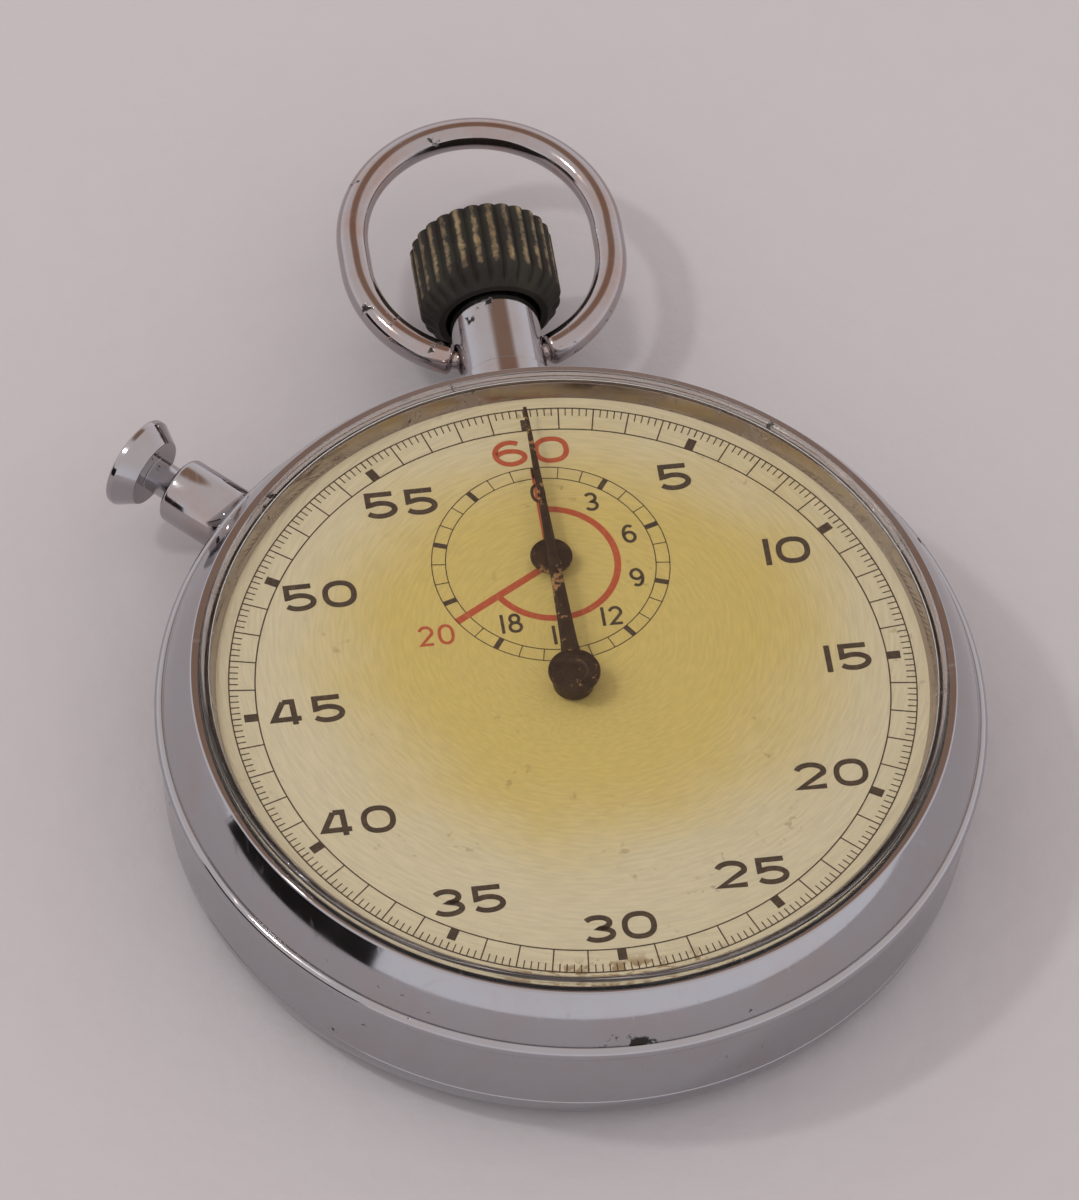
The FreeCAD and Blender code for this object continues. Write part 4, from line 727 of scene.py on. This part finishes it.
class Printing:
    # collects flat strokes and turns them into one thin mesh
    def __init__(self):
        self.points, self.faces, self.count, self.layer = [], [], 0, 0

    def stroke(self, path, width, closed=False):
        self.layer = (self.layer + 1) % 3
        points, faces = strokeSolid(np.asarray(path, float), closed, width, dialTop - 0.004,
                                    0.004 + printLook["thickness"] + 0.001 * self.layer)
        self.points.append(points)
        self.faces.append(faces + self.count)
        self.count += len(points)

    def ring(self, centre, radius, width):
        self.stroke(arcPoints(*centre, radius, radius, 0, 360, 361)[:-1], width, True)

    def tick(self, centre, inner, outer, clockAngle, width):
        direction = np.array([math.sin(math.radians(clockAngle)), math.cos(math.radians(clockAngle))])
        self.stroke([centre + direction * inner, centre + direction * outer], width)

    def number(self, text, centre, width, height, stroke, gap):
        spans = [stroke if digit == "1" else width for digit in text]
        x = centre[0] - (sum(spans) + gap * (len(text) - 1)) / 2
        for digit, span in zip(text, spans):
            box = (0, height) if digit == "1" else (width - stroke, height - stroke)
            for path, closed in numeralPaths[digit]:
                self.stroke(path * box + (x + span / 2, centre[1]), stroke, closed)
            x += span + gap

    def finish(self, name):
        return outward(makePiece(name, np.concatenate(self.points), np.concatenate(self.faces), smooth=False))


track = {
    "outer": 20.97, "inner": 19.36, "fifth": 20.4, "blockInner": 19.4, "blockOuter": 20.2, "blockWidth": 0.56,
}
counterAt = np.array([0.0, 9.2])
counter = {"outer": 7.3, "inner": 6.45, "numbers": 5.35, "arc": 4.1, "lastMinute": 20}
numerals = {"width": 2.12, "height": 2.0, "stroke": 0.36, "gap": 0.36}
numberPlaces = {
    "5": (8.5, 14.8), "10": (14.55, 8.5), "15": (17.0, 0.15), "20": (14.55, -8.3),
    "25": (8.65, -14.85), "30": (0.1, -17.8), "35": (-8.65, -14.85), "40": (-14.4, -8.3),
    "45": (-16.3, 0.12), "50": (-14.4, 8.5), "55": (-8.5, 14.8),
}


def printDialBlack():
    ink = Printing()
    ink.ring((0, 0), track["outer"], printLook["line"])
    ink.ring((0, 0), track["inner"], printLook["line"])
    centre = np.zeros(2)
    for k in range(300):
        angle = k * 1.2
        if k % 25 == 0:
            ink.tick(centre, track["blockInner"], track["blockOuter"], angle, track["blockWidth"])
            ink.tick(centre, track["fifth"], track["outer"], angle, printLook["line"])
        elif k % 5 == 0:
            ink.tick(centre, track["inner"], track["outer"], angle, printLook["line"])
        else:
            ink.tick(centre, track["fifth"], track["outer"], angle, printLook["line"] * 0.85)
    for text, place in numberPlaces.items():
        ink.number(text, place, numerals["width"], numerals["height"], numerals["stroke"], numerals["gap"])
    ink.ring(counterAt, counter["outer"], 0.06)
    ink.ring(counterAt, counter["inner"], 0.06)
    for minute in range(30):
        width = 0.34 if minute % 3 == 0 else 0.06
        ink.tick(counterAt, counter["inner"], counter["outer"], minute * 12, width)
    for minute in range(0, 21, 3):
        direction = math.radians(minute * 12)
        place = counterAt + counter["numbers"] * np.array([math.sin(direction), math.cos(direction)])
        if minute == 18:
            place = place + (0.1, 0.15)
        ink.number(str(minute), place, 0.92, 1.4, 0.2, 0.22)
    return ink.finish("dial_print_dark")


def printDialRed():
    ink = Printing()
    ink.number("60", (0.0, 17.75), numerals["width"] + 0.1, numerals["height"],
               numerals["stroke"] * 0.95, numerals["gap"])
    lastAngle = counter["lastMinute"] * 12
    ink.stroke(arcPoints(*counterAt, counter["arc"], counter["arc"], 90, 90 - lastAngle, 120), 0.42)
    ink.tick(counterAt, 0.6, counter["outer"], 0, 0.42)
    ink.tick(counterAt, 0.6, counter["outer"] + 0.05, lastAngle, 0.46)
    ink.number("20", counterAt + (-7.75, -4.5), 1.02, 1.5, 0.2, 0.22)
    return ink.finish("dial_print_red")


def makeSweepHand():
    # the arm's half width and height are read along its length, and the section is a low roof
    length = np.array([0.9, 1.5, 2.2, 4, 8, 12, 16, 19.5, 20.4])
    half = np.array([0.78, 0.60, 0.52, 0.46, 0.36, 0.27, 0.20, 0.13, 0.10])
    y = np.linspace(length[0], length[-1], 90)
    width = np.interp(y, length, half)
    z, hubRadius = handLook["height"], handLook["hub"]
    top = z - 0.06 - (y / handLook["reach"]) ** 1.6 * 0.42
    roof = ((-1, -0.10), (-1, -0.03), (-0.35, 0), (0.35, 0), (1, -0.03), (1, -0.10))
    rows = np.stack([np.stack([width * across, y, top + drop], -1) for across, drop in roof], 1)
    last = 6 * (len(y) - 1)
    caps = [[0, 1, 2, 5], [2, 3, 4, 5], [last + 5, last + 2, last + 1, last],
            [last + 5, last + 4, last + 3, last + 2]]
    faces = np.concatenate([gridFaces(len(y), 6, False, True), caps])
    arm = outward(makePiece("sweep_arm", rows.reshape(-1, 3), faces))
    hub = turned("sweep_hub", roundedOutline([
        (0, z - 0.08, 0), (0.72, z - 0.08, 0.04), (0.88, z, 0.04), (hubRadius, z, 0.07),
        (hubRadius, z - 0.2, 0.05), (1.32, z - 0.24, 0.05), (1.25, dialTop + 0.2, 0.05),
        (0, dialTop + 0.2, 0)], steps=6), segments=96, onAxis=True)
    return joined("sweep_hand_dark", [arm, hub])


def makeMinuteHand():
    y = np.linspace(0.8, 6.9, 30)
    width = np.interp(y, [0.8, 2.0, 6.9], [0.30, 0.2, 0.08])
    z = corner("minute_hand", True)[2]
    top = np.full(len(y), z - 0.05)
    roof = ((-1, -0.08), (-0.3, 0), (0.3, 0), (1, -0.08))
    rows = np.stack([np.stack([width * across, y + counterAt[1], top + drop], -1) for across, drop in roof], 1)
    last = 4 * (len(y) - 1)
    caps = [[0, 1, 2, 3], [last + 3, last + 2, last + 1, last]]
    faces = np.concatenate([gridFaces(len(y), 4, False, True), caps])
    arm = outward(makePiece("minute_arm", rows.reshape(-1, 3), faces))
    outline = roundedOutline([
        (0, z - 0.03, 0), (0.40, z - 0.03, 0.01), (0.5, z, 0.02), (1.3, z, 0.08), (1.3, z - 0.2, 0.05),
        (0.95, z - 0.24, 0.05), (0.8, dialTop + 0.15, 0.05), (0, dialTop + 0.15, 0)], steps=6)
    hub = turned("minute_hub", outline, centre=(*counterAt, 0), segments=80, onAxis=True)
    return joined("minute_hand_dark", [arm, hub])


def joined(name, pieces):
    vertices, triangles, start = [], [], 0
    for piece in pieces:
        mesh = piece.data
        mesh.calc_loop_triangles()
        co = np.zeros(len(mesh.vertices) * 3)
        mesh.vertices.foreach_get("co", co)
        index = np.zeros(len(mesh.loop_triangles) * 3, np.int32)
        mesh.loop_triangles.foreach_get("vertices", index)
        vertices.append(co.reshape(-1, 3) / millimetre)
        triangles.append(index.reshape(-1, 3) + start)
        start += len(mesh.vertices)
        bpy.data.objects.remove(piece)
    return makePiece(name, np.concatenate(vertices), np.concatenate(triangles))


def dress(piece, body, material, slotName, *nodes):
    piece.data.materials.clear()
    piece.data.materials.append(material)
    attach(piece, body)
    if nodes:
        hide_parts(*nodes)
    return piece


caseChrome = makeChrome("chrome_case", pits=0.02, smears=0.12)
bezelChrome = makeChrome("chrome_bezel", pits=0.215, pitScale=1300.0, where=nearFoot, smears=0.06)
# the brown values below paint in part of the reflection that each part mirrors, as an even tint
neckChrome = makeChrome("chrome_neck", paintedReflectionBrown=0.04, patchy=0.2, pits=0.03, smears=0.08)
bowChrome = makeChrome("chrome_bow", paintedReflectionBrown=0.16, patchy=0.4, pits=0.085, pitScale=900.0, smears=0.12)
tubeChrome = makeChrome("chrome_tube", paintedReflectionBrown=0.1, patchy=0.25, pits=0.02, smears=0.10)
pusherChrome = makeChrome("chrome_pusher", paintedReflectionBrown=0.04, patchy=0.2, pits=0.02, smears=0.10)
innerChrome = makeChrome("chrome_inner", paintedReflectionBrown=0.2, pits=0.06, smears=0.25)
darkHand = makeDarkHand()

dress(makeCaseMiddle(), "root", caseChrome, "chrome_case", "case_middle")
dress(makeBackCover(), "root", caseChrome, "chrome_case", "back_cover")
dress(makeBezel(), "root", bezelChrome, "chrome_bezel", "bezel")
dress(makeRehaut(), "root", innerChrome, "chrome_inner", "rehaut_ring")
dress(makeCrystalShell(), "root", makeCrystal(), "crystal", "crystal")
dress(makeNeck(), "root", neckChrome, "chrome_case", "pendant_neck")
dress(makePusherTube(), "root", tubeChrome, "chrome_case", "pusher_tube")
print("case made")
crownMetal = makeTarnishedCrown(stemHeight * millimetre, crownSizes["radius"] * millimetre,
                                crownSizes["depth"] * millimetre)
dress(makeCrown(), "crown", crownMetal, "worn_crown", "crown")
dress(makeBow(), "bow", bowChrome, "chrome_bow", "bow")
dress(makePusher(), "side_pusher", pusherChrome, "chrome_pusher", "side_pusher")
print("crown, bow and pusher made")
darkInk = makeInk("ink_dark", srgb(50, 37, 25), srgb(104, 84, 56))
redInk = makeInk("ink_red", srgb(182, 74, 38), srgb(188, 116, 72))
dress(printDialBlack(), "root", darkInk, "dial_face")
dress(printDialRed(), "root", redInk, "dial_face")
dress(makeSweepHand(), "sweep", darkHand, "dark_hand", "sweep_hand")
dress(makeMinuteHand(), "minute_counter", darkHand, "dark_hand", "minute_hand")
print("dial and hands made")

# CAD nodes that stay as they are get a finish for their slot
innerFinish = {
    "dial_face": makeDialPaint(),
    "gilt_plate": makeWorkshopMetal("gilt_plate", srgb(214, 186, 126), srgb(190, 158, 98), 0.28),
    "brass": makeWorkshopMetal("brass", srgb(212, 176, 104), srgb(176, 138, 74), 0.22, density=9000.0),
    "steel": makeWorkshopMetal("steel", srgb(196, 196, 200), srgb(160, 160, 166), 0.2, density=12000.0),
    "blued_steel": makeWorkshopMetal("blued_steel", srgb(48, 64, 124), srgb(30, 38, 84), 0.24),
    "chrome_case": caseChrome,
}
slotOf = {entry["node"]: entry["material_slot"] for entry in frame["record"]["subparts"]}
for name, node in frame["nodes"].items():
    if slotOf[name] in innerFinish:
        node.data.materials.clear()
        node.data.materials.append(innerFinish[slotOf[name]])
print("movement finished")


stageLook = {
    "floor": srgb(206, 203, 206), "floorSize": 3.0, "floorDrop": 0.02,
    "horizon": srgb(216, 213, 217), "zenith": srgb(206, 198, 196), "worldStrength": 1.3,
    "keyPlace": (-0.42, 0.06, 0.62), "keyPower": 0.75, "keySize": 0.06, "keyColour": (1, 0.98, 0.95),
    "flag": srgb(26, 20, 18),
    "overhead": srgb(142, 114, 98), "overheadAt": (0.12, 0.57, 0.81), "overheadEdge": (0.90, 0.975),
}


def makeFloor():
    half = stageLook["floorSize"] / 2 / millimetre
    steps = np.linspace(-half, half, 3)
    x, y = np.meshgrid(steps, steps, indexing="ij")
    points = np.stack([x, y, 0 * x - stageLook["floorDrop"]], -1).reshape(-1, 3)
    floor = makePiece("floor", points, gridFaces(3, 3, False, False)[:, ::-1])
    material, tree, surface = newMaterial("floor_card")
    noise = noiseAt(tree, objectPlace(tree), 420.0, 4.0)
    shade = tuple(c * 0.97 for c in stageLook["floor"][:3]) + (1,)
    tree.links.new(mixColour(tree, noise, stageLook["floor"], shade), surface.inputs["Base Color"])
    surface.inputs["Roughness"].default_value = 0.85
    bumped(tree, surface, noise, 0.00012)
    floor.data.materials.append(material)


def makeWorld():
    world = bpy.data.worlds.new("studio")
    world.use_nodes = True
    tree = world.node_tree
    direction = addNode(tree, "ShaderNodeTexCoord").outputs["Generated"]
    parts = addNode(tree, "ShaderNodeSeparateXYZ", {0: direction})
    height = stepBetween(tree, parts.outputs["Z"], 0.12, 0.62)
    # the brown patch is what the level tops of the neck, bow and pusher mirror
    toward = addNode(tree, "ShaderNodeVectorMath", {0: direction, 1: stageLook["overheadAt"]},
                     operation="DOT_PRODUCT")
    patch = stepBetween(tree, toward.outputs["Value"], *stageLook["overheadEdge"])
    sky = mixColour(tree, height, stageLook["horizon"], stageLook["zenith"])
    background = tree.nodes["Background"]
    tree.links.new(mixColour(tree, patch, sky, stageLook["overhead"]), background.inputs["Color"])
    background.inputs["Strength"].default_value = stageLook["worldStrength"]
    bpy.context.scene.world = world


def addCard(name, place, target, size, power, colour):
    light = bpy.data.lights.new(name, "AREA")
    light.shape = "RECTANGLE"
    light.size, light.size_y = size
    light.energy = power
    light.color = colour
    lamp = bpy.data.objects.new(name, light)
    bpy.context.scene.collection.objects.link(lamp)
    lamp.location = place
    lamp.rotation_euler = (Vector(target) - Vector(place)).to_track_quat("-Z", "Y").to_euler()
    lamp.visible_transmission = False


def addFlag(name, low, high):
    # a dark upright card outside the camera's view, seen only as a streak in the chrome
    y, z = np.meshgrid([low[1], high[1]], [low[2], high[2]], indexing="ij")
    points = np.stack([low[0] + (high[0] - low[0]) * np.array([[0, 0], [1, 1]]), y, z], -1).reshape(-1, 3)
    flag = makePiece(name, points, gridFaces(2, 2, False, False))
    material, _, surface = newMaterial(name)
    surface.inputs["Base Color"].default_value = stageLook["flag"]
    surface.inputs["Roughness"].default_value = 0.9
    flag.data.materials.append(material)


cameraLook = {
    "lens": 417.6, "sensor": 36.0, "place": (-0.10301, -0.47922, 0.70429),
    "right": (0.98813439, -0.14782489, 0.04169213), "up": (0.0964051, 0.80825214, 0.58089116),
}


def makeCamera():
    camera = bpy.data.cameras.new("camera")
    camera.lens = cameraLook["lens"]
    camera.sensor_width = cameraLook["sensor"]
    camera.sensor_fit = "AUTO"
    camera.clip_start, camera.clip_end = 0.01, 20.0
    holder = bpy.data.objects.new("camera", camera)
    bpy.context.scene.collection.objects.link(holder)
    right, up = Vector(cameraLook["right"]), Vector(cameraLook["up"])
    turn = Matrix((right, up, right.cross(up))).transposed().to_4x4()
    holder.matrix_world = Matrix.Translation(cameraLook["place"]) @ turn
    bpy.context.scene.camera = holder


makeFloor()
makeWorld()
addCard("key", stageLook["keyPlace"], (0, 0, 0), (stageLook["keySize"], stageLook["keySize"]),
        stageLook["keyPower"], stageLook["keyColour"])
addFlag("flag_left", (-300, -230, 0), (-300, 40, 100))
makeCamera()
bpy.context.scene.view_settings.view_transform = "Standard"
print("stage set")
